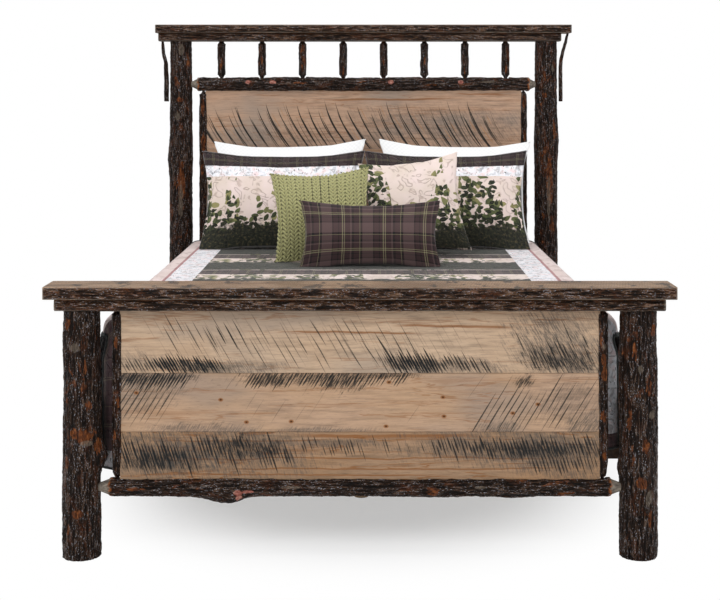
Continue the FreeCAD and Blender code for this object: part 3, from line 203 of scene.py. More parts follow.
def bark_relief(piece, axis, depth, seed):
    """Bark on a smooth log: slow lumps, long ridges with furrows between them, and small scales. How high each
    point ends up is kept for the colours."""
    piece["grain_shift"] = grain_shift(seed)
    smooth = points_of(piece)
    raise_surface(piece, "CLOUDS", 0.09, depth * 0.6, drawn_out(axis, 1.6), 0.5)
    lumpy = points_of(piece)
    raise_surface(piece, "MUSGRAVE", 0.009, depth * 0.8, drawn_out(axis, 7), 0.9,
                  musgrave_type="RIDGED_MULTIFRACTAL", octaves=3)
    raise_surface(piece, "VORONOI", 0.010, depth * 0.5, drawn_out(axis, 4), 0.4)
    raise_surface(piece, "STUCCI", 0.005, depth * 0.25, drawn_out(axis, 3), 0.5)
    rough = points_of(piece)
    away = smooth - smooth.mean(axis=0)
    away[:, ALONG[axis]] = 0
    away /= np.maximum(np.linalg.norm(away, axis=1), TINY)[:, None]
    give_values(piece, "relief", as_share(((rough - lumpy) * away).sum(axis=1)))
    moved = ((rough - smooth) * away).sum(axis=1)
    barked = abs(moved) > TINY
    rough -= away * (np.median(moved[barked]) * barked)[:, None]
    set_points(piece, rough)


def turn_about(points, axis):
    """Angle round a log, nought at the side that faces the foot of the bed, and up to half a turn either way."""
    middle = (points.max(axis=0) + points.min(axis=0)) / 2
    towards_foot = middle[1] - points[:, 1]
    sideways = points[:, 0] - middle[0] if axis == "Z" else points[:, 2] - middle[2]
    return np.arctan2(sideways, towards_foot)


def turn_from(angle, degrees):
    return (angle - math.radians(degrees) + math.pi) % (2 * math.pi) - math.pi


def patch_values(points, axis, radius, patches):
    """1 inside the patches of a log and 0 outside. A patch is (place along, degrees round, half length, half
    width), and each has a soft edge."""
    values = np.zeros(len(points))
    angle = turn_about(points, axis)
    for place, degrees, half_length, half_width in patches:
        off_along = (points[:, ALONG[axis]] - place) / half_length
        turned = turn_from(angle, degrees)
        off_across = turned * radius / half_width
        values = np.maximum(values, np.clip(1.15 - 0.62 * np.hypot(off_along, off_across), 0, 1))
    return values


def bark_log(name, node, axis, radius, around, cuts, depth, seed, bark_ends=None, swellings=(), rust=(), tan=(),
             peeled=()):
    """A log with its bark: an open tube fitted to the turned core, with bark between the bark ends and bare
    cones and tenons beyond them. Swellings are (place along, degrees round, height, reach)."""
    low, high = (np.array(corner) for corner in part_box(node))
    along = ALONG[axis]
    clear_selection()
    turn = {"X": (0, math.pi / 2, 0), "Z": (0, 0, 0)}[axis]
    tube_radius = radius * 1.35
    tube_length = high[along] - low[along] - END_INSET
    bpy.ops.mesh.primitive_cylinder_add(vertices=around, radius=tube_radius, depth=tube_length,
                                        end_fill_type="NOTHING", location=(low + high) / 2, rotation=turn)
    piece = bpy.context.object
    piece.name = name
    bpy.ops.object.transform_apply(location=True, rotation=True, scale=True)
    ring_cuts(piece, axis, cuts)
    modify(piece, "SHRINKWRAP", target=cad[node], wrap_method="PROJECT", use_negative_direction=True,
           use_positive_direction=False)
    points = points_of(piece)
    angle = turn_about(points, axis)
    middle = (low + high) / 2
    for place, degrees, height, reach in swellings:
        turned = turn_from(angle, degrees)
        near = np.exp(-(((points[:, along] - place) / reach) ** 2 + (turned * radius / reach) ** 2))
        away = points - middle
        away[:, along] = 0
        away /= np.maximum(np.linalg.norm(away, axis=1), TINY)[:, None]
        points += near[:, None] * height * away
    set_points(piece, points)
    first, last = bark_ends or (low[along] - 1, high[along] + 1)
    ragged = 0.0025 * np.sin(5 * angle + seed) + 0.0015 * np.sin(11 * angle + 2 * seed)
    inside = np.minimum(points[:, along] - first, last - points[:, along]) + ragged
    barked = np.clip(inside / 0.004, 0, 1)
    weigh(piece, "bark", barked)
    bark_relief(piece, axis, depth, seed)
    points = points_of(piece)
    give_values(piece, "barked", barked)
    give_values(piece, "rim", np.clip(1 - abs(inside - 0.003) / 0.005, 0, 1))
    for mark, patches in (("rust", rust), ("tan", tan), ("peeled", peeled)):
        give_values(piece, mark, patch_values(points, axis, radius, patches))
    ends = points[:, along]
    for tip in (ends.min(), ends.max()):
        pick(piece, "VERT", abs(ends - tip) < 1e-5)
        bpy.ops.mesh.edge_face_add()
        bpy.ops.object.mode_set(mode="OBJECT")
    turn_outward(piece)
    bpy.ops.object.shade_smooth_by_angle(angle=math.radians(60))
    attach(piece, "root")
    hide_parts(node)
    return piece


def new_material(name):
    material = bpy.data.materials.new(name)
    material.use_nodes = True
    material.node_tree.nodes.clear()
    return material


class Value:
    """What an output of a shader node gives. A sum or comparison with it adds the math nodes that work it out, and
    a name or number in square brackets picks another output of the same node."""

    def __init__(self, material, socket):
        self.material = material
        self.socket = socket

    def __getitem__(self, output):
        return Value(self.material, self.socket.node.outputs[output])

    def __add__(self, other):
        return calc("ADD", self, other)

    def __radd__(self, other):
        return calc("ADD", other, self)

    def __sub__(self, other):
        return calc("SUBTRACT", self, other)

    def __rsub__(self, other):
        return calc("SUBTRACT", other, self)

    def __mul__(self, other):
        return calc("MULTIPLY", self, other)

    def __truediv__(self, other):
        return calc("DIVIDE", self, other)

    def __pow__(self, other):
        return calc("POWER", self, other)

    def __abs__(self):
        return calc("ABSOLUTE", self)

    def __gt__(self, other):
        return calc("GREATER_THAN", self, other)

    def __lt__(self, other):
        return calc("LESS_THAN", self, other)


def put(material, kind, wires=None, **settings):
    """Adds a shader node and gives its first output. Each wire fills a socket with a constant or a value."""
    node = material.node_tree.nodes.new("ShaderNode" + kind)
    for key, setting in settings.items():
        setattr(node, key, setting)
    for socket, source in (wires or {}).items():
        if isinstance(source, Value):
            material.node_tree.links.new(source.socket, node.inputs[socket])
        else:
            node.inputs[socket].default_value = source
    return Value(material, node.outputs[0]) if node.outputs else None


def put_after(kind, wires, **settings):
    """Adds a shader node to the material that the wired values belong to."""
    material = next(source.material for source in wires.values() if isinstance(source, Value))
    return put(material, kind, wires, **settings)


def place(material):
    return put(material, "TexCoord")["Object"]


def here(material, scale=(1, 1, 1), shift=(0, 0, 0), turn=(0, 0, 0)):
    """The place of a point, stretched and shifted for a pattern."""
    wires = {"Vector": place(material), "Scale": scale, "Location": shift, "Rotation": turn}
    return put(material, "Mapping", wires)


def noise(where, scale, detail=3.0, rough=0.55, warp=0.0):
    return put_after("TexNoise", {"Vector": where, "Scale": scale, "Detail": detail, "Roughness": rough,
                                  "Distortion": warp})["Fac"]


def value_of(material, name):
    return put(material, "Attribute", attribute_name=name)["Fac"]


def spot_from(across, up, deep=0.0):
    return put_after("CombineXYZ", {"X": across, "Y": up, "Z": deep})


def calc(operation, *values, clamp=False):
    return put_after("Math", dict(enumerate(values)), operation=operation, use_clamp=clamp)


def between(value, low, high, smooth=True):
    """0 where the value is under low and 1 where it is over high."""
    kind = "SMOOTHSTEP" if smooth else "LINEAR"
    wires = {"Value": value, "From Min": low, "From Max": high}
    return put_after("MapRange", wires, interpolation_type=kind)


def blend(share, first, second, kind="MIX"):
    wires = {0: share, 6: first, 7: second}
    return put_after("Mix", wires, data_type="RGBA", blend_type=kind, clamp_factor=True)[2]


def ramp(value, *stops, sharp=False):
    """Colours along a value. Each stop is (level, colour), and sharp ones don't run into each other."""
    colours = put_after("ValToRGB", {"Fac": value})
    scale = colours.socket.node.color_ramp
    if sharp:
        scale.interpolation = "CONSTANT"
    for number, (level, colour) in enumerate(stops):
        stop = scale.elements[number] if number < 2 else scale.elements.new(level)
        stop.position = level
        stop.color = rgba(*colour)
    return colours


def rgba(*colour):
    return (*colour, 1)


def finish_material(material, colour, rough, bump_height, bump_size, metallic=0.0, coat=0.0, coat_rough=0.2,
                    sheen=0.0, specular=0.5):
    bump = put(material, "Bump", {"Height": bump_height, "Distance": bump_size, "Strength": 1.0})
    skin = put(material, "BsdfPrincipled", {
        "Base Color": colour, "Roughness": rough, "Metallic": metallic, "Coat Weight": coat, "Normal": bump,
        "Coat Roughness": coat_rough, "Sheen Weight": sheen, "Specular IOR Level": specular})
    put(material, "OutputMaterial", {"Surface": skin})
    return material


def bark_material(name, axis, seed, tone=1.0, rusty=0.62):
    """Varnished bark, by its relief: black-brown furrows, brown ridges with painted grey-blue glints on their tops,
    rust and tan flakes.
    Past the bark's ragged orange rim the wood is bare and grey-tan."""
    material = new_material(name)
    where = here(material, drawn_out(axis, 0.22), (0.7 * seed, 1.3 * seed, 0.4 * seed))
    relief = value_of(material, "relief")
    fine = noise(where, 330, 5, 0.7)
    broad = noise(where, 22, 3, 0.6)
    plait = noise(here(material, drawn_out(axis, 0.16), (seed, 2.2, 0.6)), 140, 2, 0.5, 0.6)
    plait = abs(plait - 0.5)
    ridge = between(plait, 0.0, 0.1)
    raised = relief * 0.3 + fine * 0.53 + ridge * 0.22
    colour = ramp(raised, (0.34, (0.003, 0.0015, 0.001)), (0.57, (0.016 * tone, 0.0072 * tone, 0.0033 * tone)),
                  (0.76, (0.064 * tone, 0.033 * tone, 0.017 * tone)),
                  (0.92, (0.115 * tone, 0.082 * tone, 0.062 * tone)))
    # Painted highlight: small grey-blue glints painted on the ridge tops, standing for the varnish's reflections.
    painted_glint = noise(here(material, drawn_out(axis, 0.45), (seed, 3.9, 1.1)), 420, 2, 0.5)
    painted_glint = between(painted_glint, 0.58, 0.66) * between(raised, 0.48, 0.62)
    colour = blend(painted_glint * 0.8, colour, rgba(0.33, 0.34, 0.38))
    warm = noise(here(material, drawn_out(axis, 0.35), (2.1 + seed, 0.4, 3.3)), 34, 4, 0.65, 0.4)
    warm_share = between(warm, 0.5, 0.68) * between(fine, 0.4, 0.6)
    colour = blend(warm_share * 0.6, colour, rgba(0.12, 0.034, 0.009))
    flake = noise(here(material, drawn_out(axis, 0.5), (0.3, 4.4 + seed, 1.7)), 26, 5, 0.6, 0.6)
    edge = noise(here(material, drawn_out(axis, 0.5), (7.7, seed, 0.2)), 120, 3, 0.6)
    loose = between(flake, rusty, rusty + 0.06)
    torn = noise(here(material, drawn_out(axis, 0.6), (5.1, seed, 3.3)), 48, 4, 0.7)
    ragged = edge * 0.45 + torn * 1.15
    placed = between(value_of(material, "rust") + ragged, 1.34, 1.48)
    rust_share = calc("MAXIMUM", loose * 0.75, placed)
    rust = ramp(edge, (0.35, (0.05, 0.015, 0.005)), (0.52, (0.145, 0.04, 0.01)), (0.72, (0.29, 0.095, 0.024)))
    dim = between(raised, 0.25, 0.62)
    colour = blend(rust_share * dim, colour, rust)
    tan = ramp(fine, (0.35, (0.06, 0.045, 0.035)), (0.65, (0.24, 0.19, 0.14)))
    tan_share = between(value_of(material, "tan") + ragged, 1.36, 1.52) * 0.6
    colour = blend(tan_share, colour, tan)
    peel_place = value_of(material, "peeled") + edge * 0.6
    peel = ramp(edge, (0.35, (0.16, 0.035, 0.025)), (0.55, (0.42, 0.16, 0.12)), (0.7, (0.58, 0.36, 0.28)))
    colour = blend(between(peel_place, 0.85, 1.0), colour, peel)
    wood = noise(here(material, drawn_out(axis, 0.12), (seed, 1.0, 2.0)), 150, 4)
    bare = ramp(wood, (0.3, (0.11, 0.09, 0.075)), (0.7, (0.42, 0.36, 0.29)))
    barked = value_of(material, "barked")
    colour = blend(barked, bare, colour)
    rim = value_of(material, "rim") * between(edge, 0.38, 0.55)
    colour = blend(rim, colour, rgba(0.42, 0.12, 0.025))
    rough = between(fine, 0.2, 0.9, False) * 0.35 + 0.22
    height = fine + broad * 0.4 + ridge * 0.7
    gloss = between(raised, 0.62, 0.82) * 0.55
    return finish_material(material, colour, rough, height, 0.0027, coat=gloss, coat_rough=0.12, specular=0.14)


post_patches = {
    "footboard_post_left": dict(
        swellings=((0.288, 92, 0.020, 0.030), (0.34, 80, 0.006, 0.03), (0.62, -70, 0.003, 0.05)),
        rust=((0.362, 5, 0.022, 0.042), (0.445, 22, 0.016, 0.012), (0.325, 58, 0.026, 0.016),
              (0.558, 12, 0.022, 0.006), (0.46, -48, 0.012, 0.006), (0.135, -10, 0.012, 0.022),
              (0.09, -40, 0.02, 0.006), (0.68, -45, 0.02, 0.012)),
        tan=((0.612, -22, 0.014, 0.018), (0.338, 20, 0.008, 0.02), (0.47, -75, 0.012, 0.006))),
    "footboard_post_right": dict(
        swellings=((0.26, -88, 0.007, 0.03), (0.55, 40, 0.003, 0.04)),
        rust=((0.60, -20, 0.03, 0.008), (0.50, 25, 0.04, 0.010), (0.41, -35, 0.03, 0.008), (0.33, 15, 0.03, 0.012),
              (0.225, 2, 0.018, 0.016), (0.12, 30, 0.03, 0.008), (0.66, 45, 0.02, 0.01)),
        tan=((0.552, 0, 0.014, 0.012), (0.42, 38, 0.014, 0.012), (0.18, 28, 0.025, 0.012))),
    "headboard_post_left": dict(
        swellings=((1.26, 20, 0.004, 0.025), (1.05, -60, 0.004, 0.05)),
        rust=((1.47, 55, 0.016, 0.012), (1.40, -20, 0.018, 0.008), (1.31, 0, 0.010, 0.018),
              (0.94, 12, 0.10, 0.017)),
        tan=((1.24, -10, 0.02, 0.014), (1.53, 10, 0.03, 0.02), (0.86, 8, 0.10, 0.012))),
    "headboard_post_right": dict(
        swellings=((1.33, -15, 0.004, 0.022), (1.12, 70, 0.003, 0.05)),
        rust=((1.33, -15, 0.014, 0.010), (0.95, 10, 0.12, 0.016), (1.18, 35, 0.05, 0.008)),
        tan=((0.88, 6, 0.12, 0.010), (1.45, 30, 0.02, 0.012))),
}
for number, (node, marks) in enumerate(post_patches.items()):
    foot = node.startswith("foot")
    post = bark_log("log_" + node, node, "Z", radius=0.054 if foot else 0.050, around=184,
                    cuts=(11, 19) if foot else (15, 23), depth=0.0030, seed=number + 1, **marks)
    post.data.materials.append(bark_material("bark_" + node, "Z", number + 1, rusty=0.605 if foot else 0.575))

# Rails: three logs across, thinner than the posts. Both ends are cut to a bare cone and a tenon that goes into the
# post, and the bark stops at a ragged orange rim. The top one has pink spots where a twig was trimmed off.
rail_marks = {
    "footboard_lower_rail": dict(
        bark_ends=(-0.729, 0.729),
        swellings=((-0.362, -35, 0.010, 0.030), (-0.40, -80, 0.014, 0.05), (0.22, 10, 0.005, 0.03),
                   (0.45, -60, 0.004, 0.04)),
        rust=((0.21, 0, 0.02, 0.02), (-0.65, 20, 0.03, 0.006), (0.6, -10, 0.03, 0.006)),
        tan=((0.35, 30, 0.02, 0.006), (-0.2, 30, 0.03, 0.006)),
        peeled=((-0.352, 0, 0.014, 0.010), (-0.325, 5, 0.022, 0.006), (-0.35, -25, 0.010, 0.012))),
    "headboard_mid_rail": dict(
        bark_ends=(-0.734, 0.734),
        swellings=((-0.51, 20, 0.005, 0.02), (-0.40, 20, 0.005, 0.02), (0.12, 20, 0.005, 0.02),
                   (0.43, 20, 0.005, 0.02)),
        rust=((-0.28, 10, 0.03, 0.006), (0.3, -10, 0.03, 0.006)),
        tan=((0.55, 20, 0.03, 0.006),),
        peeled=((-0.51, 15, 0.014, 0.010), (-0.40, 15, 0.018, 0.010), (0.12, 15, 0.016, 0.010),
                (0.43, 15, 0.014, 0.010))),
    "headboard_lower_rail": dict(bark_ends=(-0.734, 0.734),
                                 rust=((0.1, 180, 0.05, 0.012), (-0.4, 160, 0.04, 0.01))),
}
for number, (node, marks) in enumerate(rail_marks.items()):
    rail = bark_log("log_" + node, node, "X", radius=0.031, around=110, cuts=(19, 17), depth=0.0032,
                    seed=number + 11, **marks)
    rail.data.materials.append(bark_material("bark_" + node, "X", number + 11, tone=1.1))

# Spindles: eight short sticks with their bark on, in a row under the headboard's sub-cap. The ends are turned
# thinner, to round tenons that go into the sub-cap and the top rail.
for number in range(8):
    node = f"headboard_spindle_{number + 1}"
    spindle = bark_log("log_" + node, node, "Z", radius=0.018, around=48, cuts=(7, 9), depth=0.0022,
                       seed=number + 21,
                       swellings=((1.49 + 0.02 * math.sin(2.3 * number), 60 * number, 0.0015, 0.012),),
                       rust=((1.46 + 0.03 * math.sin(1.7 * number), 25 * math.sin(3.1 * number), 0.02, 0.005),))
    spindle.data.materials.append(bark_material("bark_" + node, "Z", number + 21, tone=1.1, rusty=0.6))

# Stiles: a thin stick with its bark on, down each end of both panels. A groove along it takes the ends of the
# planks and covers them.
stile_marks = {
    "footboard_stile_left": dict(rust=((0.62, 0, 0.02, 0.008), (0.45, 20, 0.02, 0.006), (0.35, -20, 0.02, 0.006))),
    "footboard_stile_right": dict(rust=((0.575, 0, 0.02, 0.010), (0.53, 10, 0.02, 0.010), (0.41, -5, 0.022, 0.010),
                                        (0.29, 5, 0.015, 0.010)), tan=((0.61, 0, 0.012, 0.01),)),
    "headboard_stile_left": dict(rust=((1.28, 0, 0.04, 0.008), (1.12, 10, 0.05, 0.010), (1.0, -10, 0.03, 0.008))),
    "headboard_stile_right": dict(rust=((1.3, 0, 0.03, 0.008), (1.15, 10, 0.03, 0.008))),
}
for number, (node, marks) in enumerate(stile_marks.items()):
    stile = bark_log("log_" + node, node, "Z", radius=0.018, around=56,
                     cuts=(15, 15) if node.startswith("foot") else (17, 19), depth=0.0022, seed=number + 31,
                     **marks)
    stile.data.materials.append(bark_material("bark_" + node, "Z", number + 31))

# Twigs: one thin bent branch with smooth dark bark, outside each post of the headboard. It hangs under the cap,
# and is fastened by its top end only.
for side in ("left", "right"):
    node = f"headboard_twig_{side}"
    work_on(cad[node])
    bpy.ops.object.duplicate()
    twig = bpy.context.object
    twig.name = "log_" + node
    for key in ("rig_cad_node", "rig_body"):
        if key in twig:
            del twig[key]
    bpy.ops.object.mode_set(mode="EDIT")
    bpy.ops.mesh.select_all(action="SELECT")
    bpy.ops.mesh.remove_doubles(threshold=0.00005)
    bpy.ops.object.mode_set(mode="OBJECT")
    modify(twig, "REMESH", mode="VOXEL", voxel_size=0.0016)
    weigh(twig, "bark", np.ones(len(twig.data.vertices)))
    seed = 41 if side == "left" else 42
    bark_relief(twig, "Z", depth=0.0012, seed=seed)
    for empty_mark in ("rust", "tan", "peeled", "rim"):
        give_values(twig, empty_mark, np.zeros(len(twig.data.vertices)))
    give_values(twig, "barked", np.ones(len(twig.data.vertices)))
    bpy.ops.object.shade_smooth()
    dress(twig, bark_material("bark_" + node, "Z", seed, tone=1.1))
    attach(twig, "root")
    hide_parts(node)

# Caps and sub-caps: slabs sawn flat above and below, with the bark left on the two long edges. The planed faces
# are brown-tan with faint slanted saw lines, and a thin orange line shows where the bark starts.


def slab(name, node, seed):
    low, high = (np.array(corner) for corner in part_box(node))
    length, width, height = high - low
    piece = new_block(name, (low + high) / 2, (length - END_INSET, 1.02 * width, 0.999 * height))
    ring_cuts(piece, "Z", (21,))
    ring_cuts(piece, "Y", (11,))
    ring_cuts(piece, "X", (19, 19))
    modify(piece, "SHRINKWRAP", target=cad[node], wrap_method="NEAREST_SURFACEPOINT")
    points = points_of(piece)
    from_ends = np.minimum(points[:, 0] - low[0], high[0] - points[:, 0])
    from_faces = np.minimum(high[2] - points[:, 2], points[:, 2] - low[2])
    barked = np.clip(from_faces / 0.003, 0, 1) * np.clip((from_ends - 0.002) / 0.004, 0, 1)
    middle = (low[1] + high[1]) / 2
    barked *= abs(points[:, 1] - middle) > 0.4 * width
    weigh(piece, "bark", barked)
    piece["grain_shift"] = grain_shift(seed)
    raise_surface(piece, "CLOUDS", 0.05, 0.006, drawn_out("X", 2.2), 0.5)
    lumpy = points_of(piece)
    raise_surface(piece, "MUSGRAVE", 0.009, 0.0026, drawn_out("X", 7), 0.6, musgrave_type="RIDGED_MULTIFRACTAL",
                  octaves=3)
    raise_surface(piece, "VORONOI", 0.010, 0.0018, drawn_out("X", 4), 0.4)
    rough = points_of(piece)
    rough[:, 2] = np.clip(rough[:, 2], low[2], high[2])
    set_points(piece, rough)
    height_up = (rough[:, 1] - lumpy[:, 1]) * np.sign(points[:, 1] - middle)
    give_values(piece, "relief", as_share(height_up, barked > 0.5))
    give_values(piece, "barked", barked)
    give_values(piece, "rim", 0.5 * np.clip(1 - abs(high[2] - points[:, 2] - 0.002) / 0.003, 0, 1))
    for empty_mark in ("rust", "tan", "peeled"):
        give_values(piece, empty_mark, np.zeros(len(points)))
    turn_outward(piece)
    bpy.ops.object.shade_smooth_by_angle(angle=math.radians(50))
    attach(piece, "root")
    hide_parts(node)
    return piece


def slab_material(name, seed, pale):
    material = bark_material(name, "X", seed, tone=2.3, rusty=0.64)
    tree = material.node_tree
    skin = next(node for node in tree.nodes if node.type == "BSDF_PRINCIPLED")
    bark_colour = Value(material, skin.inputs["Base Color"].links[0].from_socket)
    streak = noise(here(material, (0.05, 1, 1), (seed, 0, 0)), 120, 5, 0.6)
    cloud = noise(here(material, (0.4, 1, 1), (0, seed, 0)), 9, 3)
    wood = ramp(streak, (0.3, tuple(0.45 * part for part in pale)), (0.52, pale),
                (0.75, tuple(1.35 * part for part in pale)))
    wood = blend(between(cloud, 0.45, 0.65), wood, rgba(*(0.6 * part for part in pale)))
    saw = put(material, "TexWave", {"Vector": here(material, (1, 0.5, 0), (0, 0, 0), (0, 0, 0.35)), "Scale": 42,
                                    "Distortion": 3, "Detail": 2}, wave_type="BANDS", bands_direction="X")
    lines = between(saw["Fac"], 0.75, 0.95) * 0.35
    wood = blend(lines, wood, rgba(*(0.35 * part for part in pale)))
    soot = noise(here(material, (1.0, 0.45, 1), (2 * seed, 0, 0), (0, 0, 0.6)), 17, 5, 0.7)
    wood = blend(between(soot, 0.55, 0.61) * 0.8, wood, rgba(0.055, 0.052, 0.05))
    crack = noise(here(material, (0.03, 1, 1), (0, seed, 0)), 60, 4, 0.6)
    wood = blend(between(crack, 0.6, 0.66) * 0.5, wood, rgba(0.26, 0.12, 0.045))
    barked = between(value_of(material, "barked"), 0.05, 0.45)
    colour = blend(barked, wood, bark_colour)
    tree.links.new(colour.socket, skin.inputs["Base Color"])
    return material


for number, (node, pale) in enumerate((("footboard_cap", (0.40, 0.265, 0.175)),
                                        ("footboard_subcap", (0.20, 0.13, 0.085)),
                                        ("headboard_cap", (0.26, 0.17, 0.11)),
                                        ("headboard_subcap", (0.20, 0.13, 0.085)))):
    plank = slab("slab_" + node, node, number + 51)
    plank.data.materials.append(slab_material("wood_" + node, number + 51, pale))

# Planks: rough-sawn boards in both panels, lapped edge to edge. The band saw left slanted strokes, which the
# finish has turned blue-black, in clusters that differ from board to board, over tan wood with orange grain.


def saw_strokes(material, span, level, pitch, lean, half, width, spread=0.0, bow=0.0, density=1.0, seed=0.0):
    """Slanted strokes, a pitch apart along the board between the two places of the span. Each has its own middle
    height and length, and tapers to a point at both ends."""
    spot = put(material, "SeparateXYZ", {"Vector": place(material)})
    up = spot["Z"] - level
    wobble = noise(here(material, (1, 1, 1), (seed, 2, 5)), 3.5, 1) - 0.5
    course = spot["X"] - up * lean - up * up * bow
    count = course / pitch + wobble * 0.9
    index = calc("FLOOR", count) + 13.7 * seed
    lucky = put(material, "SeparateColor", {"Color": put(material, "TexWhiteNoise", {"W": index},
                                                         noise_dimensions="1D")["Color"]})
    shift, length, weight = (lucky[key] for key in ("Red", "Green", "Blue"))
    up = up - (shift - 0.5) * spread
    length = (length * 0.55 + 0.45) * half
    along = up / length
    taper = calc("SUBTRACT", 1.0, along * along, clamp=True)
    worn = noise(here(material, (5, 1, 45), (seed, 0, 0)), 7, 3, 0.7)
    thick = taper * (weight * 0.6 + 0.4) * (worn * 1.1 + 0.4) * (0.5 * width / pitch)
    jitter = (length - 0.72 * half) * (0.3 / half)
    off = abs(calc("FRACT", count) - 0.5 + jitter)
    soft = 0.0011 / pitch
    stroke = between(thick - off, -soft, soft)
    inside = between(course, span[0] - 0.006, span[0] + 0.006) * between(course, span[1] + 0.006, span[1] - 0.006)
    shown = inside * between(taper, 0.0, 0.15)
    if density < 1:
        shown = shown * (random_of(index + 0.37) < density)
    return stroke * shown


def random_of(number):
    return put_after("TexWhiteNoise", {"W": number}, noise_dimensions="1D")["Value"]


def streak_height(material, seed):
    """The height of a point, bent a little, for streaks that wander along the grain."""
    height = put(material, "SeparateXYZ", {"Vector": place(material)})["Z"]
    bend = noise(here(material, (1, 1, 0.2), (seed, 0, 0)), 5, 3, 0.6)
    return height + (bend - 0.5) * 0.022


def smudge(material, spread, lean, seed):
    """A worn stain at (across, height, half width, half height), combed out along the slant of the strokes."""
    spot = put(material, "SeparateXYZ", {"Vector": place(material)})
    up = spot["Z"] - spread[1]
    slid = spot["X"] - spread[0] - up * lean
    far = calc("SQRT", (slid / spread[2]) ** 2.0 + (up / spread[3]) ** 2.0)
    combed = spot_from(slid, up * 0.13, seed)
    worn = noise(combed, 150, 4, 0.7)
    hatch = noise(combed, 330, 3, 0.6)
    patchy = noise(here(material, (0.6, 1, 1.5), (seed, 0, 1.3)), 24, 5, 0.75)
    far = far + (worn - 0.5) * 3.4 + (patchy - 0.5) * 2.4
    held = between(hatch, 0.4, 0.56) * 0.75 + 0.25
    return between(far, 1.45, 0.5) * held


def plank_material(name, seed, pale, warm, grey, strokes=(), stains=(), blots=(), streaks=(), dots=(), glints=(),
                   brown=0.45, slant=0.0):
    material = new_material(name)
    drawn = here(material, (0.10, 1, 1), (seed, 0, 0.3 * seed))
    grain = noise(drawn, 90, 6, 0.62, 0.15)
    fibre = noise(here(material, (0.04, 1, 1), (seed, 0, 0.7 * seed)), 420, 4, 0.7)
    slow = noise(here(material, (0.5, 1, 1), (0, 0, seed)), 5, 3)
    colour = ramp(grain, (0.28, tuple(0.58 * part for part in pale)), (0.5, pale),
                  (0.74, tuple(min(1.0, 1.25 * part) for part in pale)))
    colour = blend(between(slow, 0.42, 0.66) * 0.55, colour, rgba(*warm))
    side = noise(here(material, (0.6, 1, 1.4), (3 + seed, 0, 0)), 4, 2)
    colour = blend(between(side, 0.48, 0.7) * 0.6, colour, rgba(*grey))
    colour = blend(between(fibre, 0.52, 0.68) * 0.35, colour, rgba(*(0.45 * part for part in grey)))
    ribbon = noise(here(material, (0.045, 1, 1), (2 * seed, 0, 0.9 * seed)), 40, 4, 0.55, 0.7)
    line = between(abs(ribbon - 0.58), 0.018, 0.004)
    wide = between(ribbon, 0.61, 0.68) * 0.6
    colour = blend(calc("MAXIMUM", line, wide) * brown, colour, rgba(0.26, 0.1, 0.028))
    dark_grain = noise(here(material, (0.12, 1, 1), (0.4 * seed, 0, seed)), 260, 3, 0.75)
    colour = blend(between(dark_grain, 0.58, 0.72) * 0.35, colour, rgba(0.1, 0.06, 0.035))
    for number, spread in enumerate(streaks):
        edge = abs(streak_height(material, seed + number) - spread[1])
        band = between(edge, spread[3], 0.35 * spread[3])
        far = abs(put(material, "SeparateXYZ", {"Vector": place(material)})["X"] - spread[0])
        band = band * between(far, spread[2], 0.6 * spread[2])
        colour = blend(band * 0.75, colour, rgba(0.24, 0.09, 0.025))
    for number, spread in enumerate(stains):
        colour = blend(smudge(material, spread, slant, seed + number) * spread[4], colour, rgba(0.062, 0.062, 0.06))
    for number, spread in enumerate(blots):
        colour = blend(smudge(material, spread, slant, seed + 5 + number) * 0.92, colour, rgba(0.01, 0.012, 0.013))
    for dot in dots:
        off = put(material, "VectorMath", {0: place(material), 1: (dot[0], 0, dot[1])}, operation="SUBTRACT")
        off = put(material, "VectorMath", {0: off, 1: (1, 0, 1.4)}, operation="MULTIPLY")
        far = put(material, "VectorMath", {0: off}, operation="LENGTH")["Value"]
        colour = blend(between(far, 0.01, 0.004), colour, rgba(0.26, 0.1, 0.03))
        colour = blend(between(far, 0.004, 0.002), colour, rgba(0.05, 0.02, 0.01))
    for number, glint in enumerate(glints):
        colour = blend(saw_strokes(material, *glint[0], **glint[1], seed=seed + number) * 0.75, colour,
                       rgba(0.45, 0.2, 0.06))
    for number, (row, marks, dark) in enumerate(strokes):
        marked = saw_strokes(material, *row, **marks, seed=seed + 0.61 * number)
        colour = blend(marked * dark, colour, rgba(0.007, 0.009, 0.01))
    rough = grain * 0.25 + 0.42
    height = grain + fibre * 0.6
    return finish_material(material, colour, rough, height, 0.0010, coat=0.04, coat_rough=0.35, specular=0.15)


